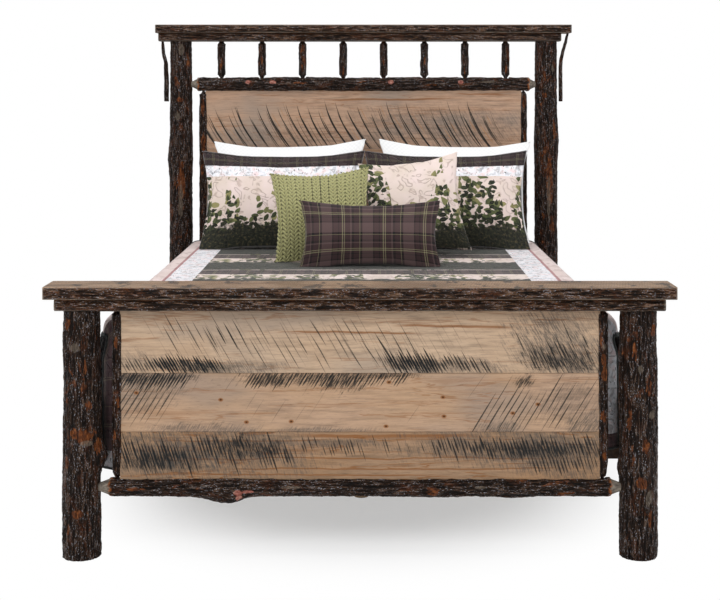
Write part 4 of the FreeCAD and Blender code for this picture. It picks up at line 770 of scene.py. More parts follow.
HEAD_ARCS = dict(pitch=0.045, lean=-0.60, bow=1.5, half=0.150, spread=0.05)
head_strokes = (
    (((-0.74, 0.60), 1.165), dict(width=0.0095, **HEAD_ARCS), 0.97),
    (((-0.733, 0.607), 1.160), dict(width=0.0070, **HEAD_ARCS), 0.9),
    (((-0.74, 0.60), 1.16), dict(pitch=0.021, lean=-0.60, bow=1.5, half=0.10, spread=0.09, width=0.004,
                                 density=0.6), 0.75),
)
plank_looks = {
    "headboard_plank_4": dict(
        pale=(0.46, 0.300, 0.205), warm=(0.50, 0.315, 0.205), grey=(0.28, 0.240, 0.205), strokes=head_strokes,
        slant=-0.6, stains=((0.37, 1.19, 0.36, 0.07, 0.45), (-0.3, 1.13, 0.4, 0.05, 0.35)),
        streaks=((0.516, 1.333, 0.12, 0.004), (0.1, 1.31, 0.3, 0.006)),
        glints=((((-0.738, 0.6), 1.20), dict(pitch=0.045, lean=-0.60, bow=1.5, half=0.05, spread=0.12, width=0.004,
                                             density=0.6)),)),
    "headboard_plank_3": dict(
        pale=(0.36, 0.235, 0.155), warm=(0.42, 0.25, 0.15), grey=(0.20, 0.165, 0.135),
        strokes=((((-0.74, 0.70), 0.98), dict(pitch=0.045, lean=-0.8, half=0.13, spread=0.03, width=0.008),
                  0.95),)),
    "headboard_plank_2": dict(
        pale=(0.36, 0.235, 0.155), warm=(0.42, 0.25, 0.15), grey=(0.20, 0.165, 0.135),
        strokes=((((-0.74, 0.70), 0.77), dict(pitch=0.034, lean=0.7, half=0.09, spread=0.08, width=0.006,
                                              density=0.7), 0.85),)),
    "headboard_plank_1": dict(
        pale=(0.36, 0.235, 0.155), warm=(0.42, 0.25, 0.15), grey=(0.20, 0.165, 0.135),
        strokes=((((-0.74, 0.70), 0.57), dict(pitch=0.03, lean=-0.5, half=0.08, spread=0.08, width=0.006,
                                              density=0.7), 0.85),)),
    "footboard_plank_3": dict(
        pale=(0.53, 0.38, 0.26), warm=(0.56, 0.38, 0.245), grey=(0.38, 0.30, 0.235), slant=-0.58,
        strokes=(
            (((-0.690, -0.60), 0.555), dict(pitch=0.009, lean=-0.58, half=0.026, spread=0.012, width=0.0070), 0.8),
            (((-0.610, -0.400), 0.557), dict(pitch=0.0085, lean=-0.58, half=0.032, spread=0.012, width=0.0085),
             1.0),
            (((-0.450, -0.334), 0.640), dict(pitch=0.030, lean=-0.58, half=0.050, spread=0.03, width=0.0080),
             0.95),
            (((-0.60, 0.35), 0.630), dict(pitch=0.0095, lean=-0.58, half=0.060, spread=0.10, width=0.0022,
                                          density=0.55), 0.42),
            (((-0.567, 0.10), 0.615), dict(pitch=0.023, lean=-0.58, half=0.060, spread=0.11, width=0.0042), 0.8),
            (((0.085, 0.225), 0.562), dict(pitch=0.0085, lean=-0.55, half=0.044, spread=0.02, width=0.0095), 1.0),
            (((-0.03, 0.19), 0.600), dict(pitch=0.046, lean=-0.57, half=0.090, spread=0.03, width=0.0075), 0.9),
            (((0.197, 0.370), 0.560), dict(pitch=0.010, lean=-0.55, half=0.032, spread=0.02, width=0.0075,
                                           density=0.8), 0.9),
            (((0.470, 0.691), 0.600), dict(pitch=0.010, lean=-0.45, half=0.050, spread=0.09, width=0.0060,
                                           density=0.85), 0.85)),
        stains=((-0.37, 0.547, 0.13, 0.020, 0.6), (0.60, 0.60, 0.13, 0.085, 0.75), (0.29, 0.550, 0.12, 0.022, 0.6),
                (-0.64, 0.56, 0.08, 0.03, 0.4), (0.62, 0.69, 0.10, 0.03, 0.4)),
        blots=((-0.50, 0.553, 0.10, 0.016), (0.15, 0.556, 0.07, 0.022), (0.58, 0.57, 0.09, 0.03)),
        streaks=((0.276, 0.668, 0.20, 0.005), (-0.02, 0.650, 0.22, 0.004), (0.555, 0.686, 0.06, 0.003))),
    "footboard_plank_2": dict(
        pale=(0.46, 0.305, 0.205), warm=(0.51, 0.325, 0.19), grey=(0.33, 0.25, 0.195), slant=0.62,
        strokes=(
            (((-0.700, -0.500), 0.510), dict(pitch=0.009, lean=0.62, half=0.034, spread=0.02, width=0.0080), 0.95),
            (((-0.33, 0.135), 0.514), dict(pitch=0.0095, lean=0.62, half=0.030, spread=0.02, width=0.0070,
                                           density=0.85), 0.9),
            (((-0.73, -0.55), 0.450), dict(pitch=0.018, lean=0.62, half=0.085, spread=0.03, width=0.0060), 0.85),
            (((0.36, 0.66), 0.430), dict(pitch=0.018, lean=0.62, half=0.080, spread=0.07, width=0.0055,
                                         density=0.85), 0.85),
            (((-0.56, 0.36), 0.455), dict(pitch=0.033, lean=0.66, half=0.050, spread=0.10, width=0.0024,
                                          density=0.4), 0.45)),
        stains=((0.405, 0.372, 0.06, 0.018, 0.7), (0.665, 0.385, 0.06, 0.030, 0.7),
                (-0.466, 0.370, 0.15, 0.014, 0.6),
                (-0.12, 0.367, 0.12, 0.008, 0.6), (0.60, 0.45, 0.10, 0.05, 0.4), (-0.62, 0.47, 0.08, 0.05, 0.4)),
        blots=((-0.60, 0.522, 0.11, 0.016), (-0.22, 0.521, 0.11, 0.020), (-0.05, 0.515, 0.075, 0.030),
               (0.08, 0.526, 0.08, 0.010), (0.476, 0.508, 0.022, 0.018)),
        dots=((0.241, 0.4625), (0.244, 0.407), (0.0755, 0.378), (0.084, 0.506), (0.444, 0.416), (0.517, 0.442),
              (-0.405, 0.455), (-0.20, 0.392), (-0.33, 0.39), (-0.65, 0.475))),
    "footboard_plank_1": dict(
        pale=(0.34, 0.215, 0.13), warm=(0.40, 0.225, 0.11), grey=(0.24, 0.175, 0.125), brown=0.8, slant=-0.33,
        strokes=(
            (((-0.69, -0.50), 0.295), dict(pitch=0.009, lean=-0.33, half=0.058, spread=0.05, width=0.0075), 0.95),
            (((-0.50, -0.200), 0.305), dict(pitch=0.0095, lean=-0.33, half=0.052, spread=0.06, width=0.0070,
                                            density=0.9), 0.9),
            (((0.206, 0.69), 0.318), dict(pitch=0.0095, lean=-0.33, half=0.040, spread=0.03, width=0.0070), 0.9),
            (((0.488, 0.69), 0.272), dict(pitch=0.010, lean=-0.33, half=0.036, spread=0.02, width=0.0068), 0.85),
            (((-0.20, 0.20), 0.315), dict(pitch=0.0085, lean=-0.33, half=0.030, spread=0.04, width=0.0050,
                                          density=0.55), 0.85)),
        stains=((-0.58, 0.300, 0.13, 0.065, 0.8), (-0.34, 0.305, 0.17, 0.06, 0.7),
                (0.446, 0.318, 0.27, 0.045, 0.7),
                (0.587, 0.27, 0.13, 0.05, 0.6), (-0.10, 0.33, 0.14, 0.012, 0.6)),
        blots=((-0.60, 0.278, 0.09, 0.030), (-0.34, 0.318, 0.10, 0.028), (0.50, 0.312, 0.16, 0.020)),
        streaks=((0.079, 0.349, 0.30, 0.007), (0.0, 0.285, 0.7, 0.003), (0.1, 0.253, 0.6, 0.003),
                 (-0.2, 0.236, 0.5, 0.003), (-0.35, 0.338, 0.3, 0.003))),
}
for number, (node, look) in enumerate(plank_looks.items()):
    dress(cad[node], plank_material("wood_" + node, 1.7 * number + 3, **look))

# Side rails, ledgers, slats, middle beam and feet: planed softwood with plain knots. The rails, ledgers and beam
# are stained brown, and the slats and feet are left pale. The slats are screwed down.


def lumber_material(name, axis, seed, dark, pale):
    material = new_material(name)
    where = here(material, drawn_out(axis, 0.07), (seed, 2 * seed, 0.5 * seed))
    grain = noise(where, 95, 5, 0.6, 0.2)
    slow = noise(here(material, drawn_out(axis, 0.3), (0, seed, 0)), 11, 3, 0.6, 0.4)
    colour = ramp(grain, (0.3, dark), (0.7, pale))
    colour = blend(between(slow, 0.5, 0.68) * 0.5, colour, rgba(*dark))
    pin = put(material, "TexVoronoi", {"Vector": here(material, drawn_out(axis, 0.5), (seed, 0, 1.7)), "Scale": 7},
              feature="F1")["Distance"]
    knot = 1.0 - between(pin, 0.06, 0.13)
    colour = blend(knot * 0.8, colour, rgba(*(0.35 * part for part in dark)))
    rough = grain * 0.2 + 0.45
    return finish_material(material, colour, rough, grain, 0.0005)


for node in cad:
    if node.startswith(("side_rail", "rail_cleat", "centre_beam")):
        look = lumber_material("wood_" + node, "Y", 3.1, (0.05, 0.026, 0.014), (0.13, 0.070, 0.038))
    elif node.startswith("slat_") and node != "slat_screws":
        look = lumber_material("wood_" + node, "X", 1.9 + int(node[-1]), (0.42, 0.25, 0.12), (0.62, 0.43, 0.25))
    elif node.startswith("centre_foot"):
        look = lumber_material("wood_" + node, "Z", 5.2, (0.42, 0.25, 0.12), (0.62, 0.43, 0.25))
    else:
        continue
    dress(cad[node], look)

# Hook plates and screws: black steel hooks at the ends of the side rails drop into slotted plates on the posts.
# Zinc screws hold them, and the cap, the ledgers and the slats too.


def metal_material(name, colour, rough_low, rough_high, metallic):
    material = new_material(name)
    grit = noise(here(material), 400, 4)
    wear = noise(here(material), 40, 4)
    tint = blend(between(wear, 0.4, 0.7), rgba(*colour), rgba(*(1.5 * part for part in colour)))
    rough = put(material, "MapRange", {"Value": wear, "To Min": rough_low, "To Max": rough_high})
    return finish_material(material, tint, rough, grit, 0.0002, metallic=metallic)


black_steel = metal_material("black_steel", (0.012, 0.012, 0.013), 0.35, 0.6, 0.3)
zinc = metal_material("zinc", (0.42, 0.41, 0.38), 0.25, 0.45, 1.0)
for node in ("post_hook_plates", "rail_hooks"):
    dress(cad[node], black_steel)
for node in ("cap_screws", "cleat_screws", "hook_screws", "slat_screws"):
    dress(cad[node], zinc)

# Box spring and mattress: two padded blocks on the slats. The mattress has quilted ticking and a taped edge round
# the top and the bottom.


TAPE_LIFT = 0.004
TAPE_HEIGHT = 0.007


def padded_block(name, node, corner, edge, tape):
    low, high = (np.array(corner_point) for corner_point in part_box(node))
    piece = new_block(name, (low + high) / 2, (high - low) - 0.003)
    ends = points_of(piece)[edges_of(piece)]
    pick(piece, "EDGE", abs(ends[:, 0, 2] - ends[:, 1, 2]) > 0.05)
    bpy.ops.mesh.bevel(offset=corner, segments=8, affect="EDGES")
    bpy.ops.object.mode_set(mode="OBJECT")
    ends = points_of(piece)[edges_of(piece)]
    pick(piece, "EDGE", abs(ends[:, 0, 2] - ends[:, 1, 2]) < 1e-4)
    bpy.ops.mesh.bevel(offset=edge, segments=5, affect="EDGES")
    bpy.ops.object.mode_set(mode="OBJECT")
    modify(piece, "REMESH", mode="VOXEL", voxel_size=0.011)
    points = points_of(piece)
    middle = (low + high) / 2
    for level in (low[2] + tape, high[2] - tape):
        near = np.exp(-((points[:, 2] - level) / TAPE_HEIGHT) ** 2)
        away = points - middle
        side = np.where(abs(away[:, 0]) - (high[0] - middle[0]) > abs(away[:, 1]) - (high[1] - middle[1]), 0, 1)
        rows = np.arange(len(points))
        beside = abs(points[:, 2] - level) < 0.06
        points[rows, side] -= TAPE_LIFT * (1 - near) * np.sign(away[rows, side]) * beside
    set_points(piece, points)
    bpy.ops.object.shade_smooth()
    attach(piece, "root")
    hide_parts(node)
    return piece


def ticking_material(name, colour, rough, weave, weave_height):
    material = new_material(name)
    where = here(material)
    lint = noise(where, 300, 3)
    shade = noise(where, 14, 3)
    tint = blend(between(shade, 0.3, 0.7), rgba(*(0.93 * part for part in colour)), rgba(*colour))
    threads = put(material, "TexVoronoi", {"Vector": where, "Scale": weave})["Distance"]
    height = threads + lint * 0.5
    return finish_material(material, tint, lint * 0.2 + rough, height, weave_height, sheen=0.15)


ticking = ticking_material("ticking", (0.80, 0.79, 0.76), rough=0.75, weave=260, weave_height=0.0006)
for name, node, corner, edge, tape, fill in (("box_spring_cover", "box_spring", 0.06, 0.010, 0.02, 1.0),
                                             ("mattress_cover", "mattress", 0.06, 0.036, 0.045, 0.9)):
    block = padded_block(name, node, corner, edge, tape)
    block.data.materials.append(ticking)

# Quilt: one sheet of quilted cotton over the mattress. It hangs outside the side rails in soft folds, and hangs
# between the mattress and the footboard, with the corners at the foot split to clear the posts. A printed middle
# with rows of leaves, a speckled white band, and a border of plaid and speckled blocks, with a bound edge.
QUILT_TOP = 0.6900
QUILT_SIDE = 0.7668
QUILT_FOOT = 1.0206
QUILT_HEAD = 0.990
EDGE_RADIUS = 0.045
CORNER_RADIUS = 0.0645
RAIL_FACE = 0.8135
SIDE_HEM = 0.272
FOOT_HEM = 0.240
FOOT_HEM_RISE = 0.060
SIDE_FOLD_DEPTH = 0.022
FOOT_FOLD_DEPTH = 0.011
SLIT_WIDTH = 0.082
SLIT_TOP = 0.112
side_levels = (QUILT_TOP - EDGE_RADIUS, 0.632, 0.450, SIDE_HEM)
side_offs = (QUILT_SIDE, QUILT_SIDE, RAIL_FACE, RAIL_FACE)
arc_length = math.pi / 2 * EDGE_RADIUS
side_lengths = np.concatenate(([0], np.cumsum(np.hypot(np.diff(side_levels), np.diff(side_offs)))))
side_drop = arc_length + side_lengths[-1]
foot_drop = arc_length + (QUILT_TOP - EDGE_RADIUS - FOOT_HEM)
half_flat = QUILT_SIDE - EDGE_RADIUS + side_drop
foot_flat = QUILT_FOOT - EDGE_RADIUS + foot_drop


def folds(place, count, seed):
    """Soft folds along a hem, from 0 in the hollows to 1 on the ridges."""
    wave = np.sin(2 * math.pi * (count * place + 0.11 * np.sin(9 * place + seed) + 0.07 * seed))
    other = np.sin(2 * math.pi * (1.7 * count * place + 0.3 * seed))
    return np.clip(0.5 + 0.38 * wave + 0.18 * other, 0, 1)


clear_selection()
bpy.ops.mesh.primitive_grid_add(x_subdivisions=280, y_subdivisions=294, size=1)
quilt = bpy.context.object
quilt.name = "quilt_cloth"
quilt.scale = (2 * half_flat, QUILT_HEAD + foot_flat, 1)
quilt.location = (0, (QUILT_HEAD - foot_flat) / 2, 0)
bpy.ops.object.transform_apply(location=True, rotation=True, scale=True)
flat = points_of(quilt)
past_side = abs(flat[:, 0]) - (QUILT_SIDE - CORNER_RADIUS)
past_foot = -flat[:, 1] - (QUILT_FOOT - CORNER_RADIUS)
reach = np.hypot(np.maximum(past_side, 0), np.maximum(past_foot, 0))
cut_away = (past_side > SLIT_WIDTH) & (past_foot > 0.004) & (reach > SLIT_TOP)
cut_away |= (past_side > SLIT_WIDTH + 0.05 * np.clip(past_foot - 0.1, 0, 1)) & (past_foot > SLIT_TOP)
pick(quilt, "VERT", cut_away)
bpy.ops.mesh.delete(type="VERT")
bpy.ops.object.mode_set(mode="OBJECT")
flat = points_of(quilt)
sign = np.sign(flat[:, 0])
past_side = abs(flat[:, 0]) - (QUILT_SIDE - CORNER_RADIUS)
past_foot = -flat[:, 1] - (QUILT_FOOT - CORNER_RADIUS)
to_side, to_foot = np.maximum(past_side, 0), np.maximum(past_foot, 0)
reach = np.hypot(to_side, to_foot)
bend = np.clip((reach - (CORNER_RADIUS - EDGE_RADIUS)) / EDGE_RADIUS, 0, math.pi / 2)
out = np.minimum(reach, CORNER_RADIUS - EDGE_RADIUS) + EDGE_RADIUS * np.sin(bend)
down = EDGE_RADIUS * (1 - np.cos(bend))
hang = np.maximum(reach - (CORNER_RADIUS - EDGE_RADIUS) - arc_length, 0)
round_cap = np.arctan2(to_side, to_foot)
wrapped = np.clip(to_side / CORNER_RADIUS, 0, math.pi / 2)
share = np.clip((to_foot - 0.07) / 0.10, 0, 1)
heading = np.where(to_foot > to_side, round_cap * (1 - share) + wrapped * share, round_cap)
on_side = (to_side >= to_foot) & (reach > 0)
hem_height = FOOT_HEM + FOOT_HEM_RISE * (flat[:, 0] / QUILT_SIDE + 1) / 2
foot_hang = hang * (QUILT_TOP - EDGE_RADIUS - hem_height) / (foot_drop - arc_length)
side_z = np.interp(hang, side_lengths, side_levels)
side_off = np.interp(hang, side_lengths, side_offs) - QUILT_SIDE
depth = hang / side_lengths[-1]
side_fold = SIDE_FOLD_DEPTH * np.clip(1.25 * depth - 0.15, 0, 1) * folds(flat[:, 1] * sign + 2, 4.6, 1.0)
foot_fold = FOOT_FOLD_DEPTH * np.clip(1.2 * depth - 0.1, 0, 1) * folds(flat[:, 0] + 2, 5.3, 2.0)
spread = out + np.where(on_side, side_off + side_fold, foot_fold) * (hang > 0)
drape = np.empty_like(flat)
inner_x = np.minimum(abs(flat[:, 0]), QUILT_SIDE - CORNER_RADIUS)
inner_y = np.minimum(-flat[:, 1], QUILT_FOOT - CORNER_RADIUS)
drape[:, 0] = sign * (inner_x + spread * np.sin(heading) * (reach > 0))
drape[:, 1] = -(inner_y + spread * np.cos(heading) * (reach > 0))
drape[:, 2] = np.where(hang > 0, np.where(on_side, side_z, QUILT_TOP - EDGE_RADIUS - foot_hang), QUILT_TOP - down)
set_points(quilt, drape)
give_values(quilt, "cloth_x", flat[:, 0])
give_values(quilt, "cloth_y", flat[:, 1])
quilt["grain_shift"] = (0.3, 0.7, 0.2)
under_pillows = np.clip((0.55 - flat[:, 1]) / 0.25, 0, 1)
weigh(quilt, "bark", np.clip(0.25 + under_pillows, 0, 1) * (0.35 + 0.65 * (hang > 0)))
raise_surface(quilt, "CLOUDS", 0.10, 0.007, (1, 1, 1), 0.4)
raise_surface(quilt, "CLOUDS", 0.035, 0.0035, (1, 1, 1), 0.4)
turn_outward(quilt)
bpy.ops.object.shade_smooth()

PLUM, COAL, MAUVE, OLIVE = (0.040, 0.020, 0.021), (0.008, 0.007, 0.007), (0.105, 0.065, 0.063), (0.27, 0.25, 0.14)
PLAID = ((0.0, MAUVE), (0.26, COAL), (0.29, PLUM), (0.40, COAL), (0.43, PLUM), (0.50, OLIVE), (0.52, PLUM),
         (0.55, OLIVE), (0.57, PLUM), (0.70, MAUVE), (0.74, COAL), (0.80, PLUM), (0.93, OLIVE), (0.945, COAL))


def plaid(across, up, period):
    """Warp and weft with the same stripes, dyed hard-edged, that repeat once in each period."""
    warp, weft = (ramp(calc("FRACT", way / period), *PLAID, sharp=True) for way in (across, up))
    return blend(0.5, warp, weft)


def strewn_leaves(across, up, size, share, seed):
    """Broad leaves that lie at all angles, one to each cell of a loose grid, where a share of the cells has one.
    Gives the mask, a number for each leaf, and its midrib and side veins."""
    spot = spot_from(across + 0.37 * seed, up + 0.61 * seed)
    cell = put_after("TexVoronoi", {"Vector": spot, "Scale": 1 / size}, voronoi_dimensions="2D", feature="F1")
    lucky = put_after("SeparateColor", {"Color": cell["Color"]})
    way = (lucky["Red"] - 0.5) * 3.4 + math.pi / 2
    off = put_after("VectorMath", {0: spot, 1: cell["Position"]}, operation="SUBTRACT")
    laid = put_after("VectorRotate", {"Vector": off, "Angle": way}, rotation_type="Z_AXIS")
    laid = put_after("SeparateXYZ", {"Vector": laid})
    along = laid["X"] / (0.66 * size)
    side = abs(laid["Y"] / (0.66 * size))
    belly = calc("SUBTRACT", 1.0, along * along, clamp=True)
    edge = belly * 0.46 * (1.0 + along * 0.35)
    nibbled = noise(spot, 0.35 / size * 10, 2)
    edge = edge * (nibbled * 0.5 + 0.75)
    mask = between(edge - side, 0.0, 0.03)
    mask = mask * (lucky["Green"] < share)
    bent = along * 5.0 - side * 4.0
    veins = abs(calc("FRACT", bent) - 0.5)
    veins = between(veins, 0.12, 0.02) * 0.35
    veins = calc("MAXIMUM", between(side, 0.05, 0.02), veins)
    return mask, lucky["Blue"], veins


def leafy_field(across, up, height, seed, ground):
    """Cream and pink cloth with leaves strewn over it, thin at the top and thick over the dark foot."""
    spot = spot_from(across, up, seed)
    colour = ramp(noise(spot, 9, 2), (0.35, (0.72, 0.6, 0.52)), (0.65, (0.8, 0.66, 0.62)))
    clump = noise(spot_from(across, 0.0, seed), 6.5, 1)
    lift = between(clump, 0.42, 0.56) * 0.8 + 0.52
    rise = up / (lift * height)
    worn = noise(spot, 150, 3, 0.7)
    for number, (size, thick, dark) in enumerate(((0.040, 1.30, 0.0), (0.031, 1.45, 0.2), (0.024, 1.40, 0.45))):
        share = thick - rise * (0.9 + 0.22 * number)
        mask, lot, veins = strewn_leaves(across, up, size, share, seed + number)
        shade = lot * 0.5 + rise * 0.45 + worn * 0.35
        green = ramp(shade - dark, (0.18, (0.006, 0.009, 0.006)), (0.42, (0.03, 0.042, 0.018)),
                     (0.66, (0.115, 0.135, 0.05)), (0.92, (0.3, 0.27, 0.115)))
        green = blend(veins * 0.45, green, rgba(0.16, 0.15, 0.07))
        colour = blend(mask, colour, green)
    ragged = up + noise(spot, 26, 5, 0.7) * (-0.16 * height / 0.35)
    leafy = noise(spot, 90, 4, 0.7)
    litter = ramp(leafy, (0.35, (0.004, 0.005, 0.004)), (0.55, (0.028, 0.03, 0.018)), (0.7, (0.13, 0.095, 0.045)),
                  (0.8, (0.2, 0.19, 0.09)))
    return blend(between(ragged, ground, ground - 0.03), colour, litter)


def speckled(across, up, seed):
    """White cloth with grey clouds, pink blushes and small dark flecks."""
    spot = spot_from(across, up, seed)
    cloud = noise(spot, 30, 4, 0.6)
    colour = ramp(cloud, (0.33, (0.5, 0.5, 0.54)), (0.48, (0.86, 0.86, 0.89)), (0.66, (0.84, 0.68, 0.68)))
    fleck = noise(put_after("Mapping", {"Vector": spot, "Scale": (2.6, 1, 1)}), 48, 4, 0.65)
    return blend(between(fleck, 0.6, 0.65), colour, rgba(0.03, 0.02, 0.02))


def quilting(across, up, scale):
    """Wandering lines of stitches: 1 on the puffed cloth and 0 on the stitches."""
    field = noise(spot_from(across, up, 4.0), scale, 1.5, 0.5, 0.8)
    return between(abs(calc("FRACT", field * 4.0) - 0.5), 0.0, 0.16)


def finish_cloth(material, colour, puff, puff_height):
    """Woven threads, lint and, where puff is given, the relief of the quilting with painted shade in its stitched
    hollows.
    """
    bump_size = 0.001
    where = here(material)
    lint = noise(where, 380, 3)
    weave = put(material, "TexVoronoi", {"Vector": where, "Scale": 350})["Distance"]
    height = (weave + lint) * 0.22
    if puff is not None:
        height = height + puff * (puff_height / bump_size)
        # Painted shade: the cloth is darkened along the stitched hollows of the quilting.
        colour = blend(1.0 - puff, colour, rgba(0.74, 0.7, 0.68), "MULTIPLY")
    rough = lint * 0.15 + 0.75
    return finish_material(material, colour, rough, height, bump_size, sheen=0.2, specular=0.25)


ROW_PITCH = 0.47
ROW_START = 3.27
PLAID_BAND = (0.345, 0.462)
WHITE_BAND_START = 0.59
RED_LINE = (0.685, 0.696)
BORDER_SIDE = 0.80
BORDER_FOOT = 1.00
BLOCK_LENGTH = 0.40
quilt_look = new_material("quilt_print")
across, up = value_of(quilt_look, "cloth_x"), value_of(quilt_look, "cloth_y")
row = calc("FRACT", (up + ROW_START) / ROW_PITCH) * ROW_PITCH
middle = leafy_field(across, row, 0.36, 2.0, 0.15)
band = (row > PLAID_BAND[0]) * (row < PLAID_BAND[1])
middle = blend(band, middle, plaid(across, up, 0.12))
aside = abs(across)
white_band = speckled(across, up, 1.0)
blush = ramp(noise(spot_from(across, up, 7.0), 6, 2), (0.35, (0.72, 0.58, 0.54)), (0.65, (0.8, 0.66, 0.63)))
colour = blend(aside > WHITE_BAND_START, middle, white_band)
colour = blend(aside > RED_LINE[0], colour, blush)
colour = blend((aside > RED_LINE[0]) * (aside < RED_LINE[1]), colour, rgba(0.42, 0.2, 0.2))
outer = calc("MAXIMUM", aside > BORDER_SIDE, up < -BORDER_FOOT)
block = calc("FLOOR", (up + 1.4) / BLOCK_LENGTH) + (across > 0.0)
which = calc("FRACT", block * 0.5) < 0.25
wide_plaid = blend(0.22, plaid(across, up, 0.14), rgba(0.42, 0.24, 0.25))
border = blend(which, speckled(across, up, 3.0), wide_plaid)
colour = blend(outer, colour, border)
finish_cloth(quilt_look, colour, quilting(across, up, 15), 0.0022)
quilt.data.materials.append(quilt_look)

work_on(quilt)
bpy.ops.object.mode_set(mode="EDIT")
bpy.ops.mesh.select_mode(type="EDGE")
bpy.ops.mesh.select_all(action="DESELECT")
bpy.ops.mesh.select_non_manifold(extend=False, use_boundary=True, use_wire=False, use_multi_face=False,
                                 use_non_contiguous=False, use_verts=False)
bpy.ops.mesh.duplicate()
bpy.ops.mesh.separate(type="SELECTED")
bpy.ops.object.mode_set(mode="OBJECT")
binding = next(piece for piece in bpy.context.selected_objects if piece != quilt)
work_on(binding)
binding.data.materials.clear()
binding.name = "quilt_binding"
bpy.ops.object.convert(target="CURVE")
binding = bpy.context.object
binding.data.bevel_depth = 0.0038
binding.data.bevel_resolution = 2
bpy.ops.object.convert(target="MESH")
binding = bpy.context.object
bpy.ops.object.shade_smooth()
edge_look = new_material("quilt_binding")
finish_cloth(edge_look, rgba(0.06, 0.065, 0.062), None, 0)
binding.data.materials.append(edge_look)
for piece in (quilt, binding):
    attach(piece, "root")
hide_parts("quilt")

# Pillows: each is two layers of cloth sewn together round the edge and stuffed, so the seams pucker, the corners
# stand out and the sides draw in. They lean on each other against the headboard.


def split_along(piece, axis, number):
    ends = points_of(piece)[edges_of(piece)]
    span = abs(ends[:, 0] - ends[:, 1])
    pick(piece, "EDGE", span[:, axis] > 0.5 * span[:, axis].max())
    bpy.ops.mesh.subdivide(number_cuts=number)
    bpy.ops.object.mode_set(mode="OBJECT")


def sewn_pillow(name, width, height, thickness, cell, draw, slack, pressure):
    """A pillow lying flat at the origin. The seams are drawn in by a share of the size, and the cloth is slack by
    another share, so it creases. Where each point lies on the flat cloth is kept for the pattern."""
    piece = new_block(name, (0, 0, 0), (width, height, 0.006))
    split_along(piece, 0, int(width / cell))
    split_along(piece, 1, int(height / cell))
    flat = points_of(piece)
    give_values(piece, "cloth_x", flat[:, 0])
    give_values(piece, "cloth_y", flat[:, 1])
    give_values(piece, "front", (flat[:, 2] > 0).astype(float))
    across, up = 2 * flat[:, 0] / width, 2 * flat[:, 1] / height
    crown = np.clip((1 - abs(across) ** 2.4) * (1 - abs(up) ** 2.4), 0, 1) ** 0.5
    start = flat.copy()
    start[:, 2] += np.sign(flat[:, 2]) * (thickness / 2 - 0.003) * crown
    start[:, 0] *= 1 - draw * (1 - up ** 2)
    start[:, 1] *= 1 - draw * (1 - across ** 2)
    set_points(piece, start)
    sewn = piece.modifiers.new("sewn", "CLOTH")
    sewn.settings.quality = 6
    sewn.settings.mass = 0.25
    sewn.settings.tension_stiffness = 20
    sewn.settings.compression_stiffness = 20
    sewn.settings.shear_stiffness = 8
    sewn.settings.bending_stiffness = 0.08
    sewn.settings.use_pressure = True
    sewn.settings.uniform_pressure_force = pressure
    sewn.settings.shrink_min = -slack
    sewn.settings.effector_weights.gravity = 0
    sewn.collision_settings.use_collision = False
    sewn.point_cache.frame_start = 1
    sewn.point_cache.frame_end = FRAMES
    for step in range(1, FRAMES + 1):
        bpy.context.scene.frame_set(step)
    apply_modifier(piece, "sewn")
    bpy.context.scene.frame_set(1)
    moved = points_of(piece) - start
    far = np.linalg.norm(moved, axis=1)
    moved *= (np.minimum(far, FULLEST) / np.maximum(far, 1e-9))[:, None]
    set_points(piece, start + moved)
    modify(piece, "SUBSURF", levels=1)
    return piece


def lean_back(piece, node, lean, tilt):
    """Stands a finished pillow in the place of its solid."""
    low, high = (np.array(corner_point) for corner_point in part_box(node))
    points = points_of(piece)
    turned = math.radians(tilt)
    spin = np.array(((math.cos(turned), -math.sin(turned), 0), (math.sin(turned), math.cos(turned), 0), (0, 0, 1)))
    up = math.radians(90 - lean)
    rise = np.array(((1, 0, 0), (0, math.cos(up), -math.sin(up)), (0, math.sin(up), math.cos(up))))
    points = points @ (rise @ spin).T
    middle = (points.max(axis=0) + points.min(axis=0)) / 2
    points[:, :2] += (low[:2] + high[:2]) / 2 - middle[:2]
    points[:, 2] += high[2] - points[:, 2].max()
    points[:, 2] = np.maximum(points[:, 2], low[2])
    set_points(piece, points)
    modify(piece, "SHRINKWRAP", target=cad[node], wrap_method="NEAREST_SURFACEPOINT", wrap_mode="INSIDE")
    bpy.ops.object.shade_smooth()
    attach(piece, "root")
    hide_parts(node)


CASE_MESH = 0.010
CASE_SLACK = 0.05
PUFF = 1.5
FULLEST = 0.016
FRAMES = 20
pillow_sizes = (
    ("white_pillow_left", 0.660, 0.460, 0.150, 13, 1, "white_cotton", 0.05),
    ("white_pillow_right", 0.660, 0.460, 0.150, 13, -1, "white_cotton", 0.05),
    ("sham_left", 0.690, 0.447, 0.160, 22, 0, "sham_cotton", 0.035),
    ("sham_right", 0.690, 0.447, 0.160, 22, 0, "sham_cotton", 0.035),
    ("patterned_throw_pillow", 0.405, 0.400, 0.140, 18, 7, "throw_print", 0.05),
    ("knitted_pillow", 0.390, 0.364, 0.130, 15, 4, "sage_knit", 0.05),
    ("lumbar_pillow", 0.532, 0.268, 0.110, 18, 0, "dark_plaid", 0.05),
)


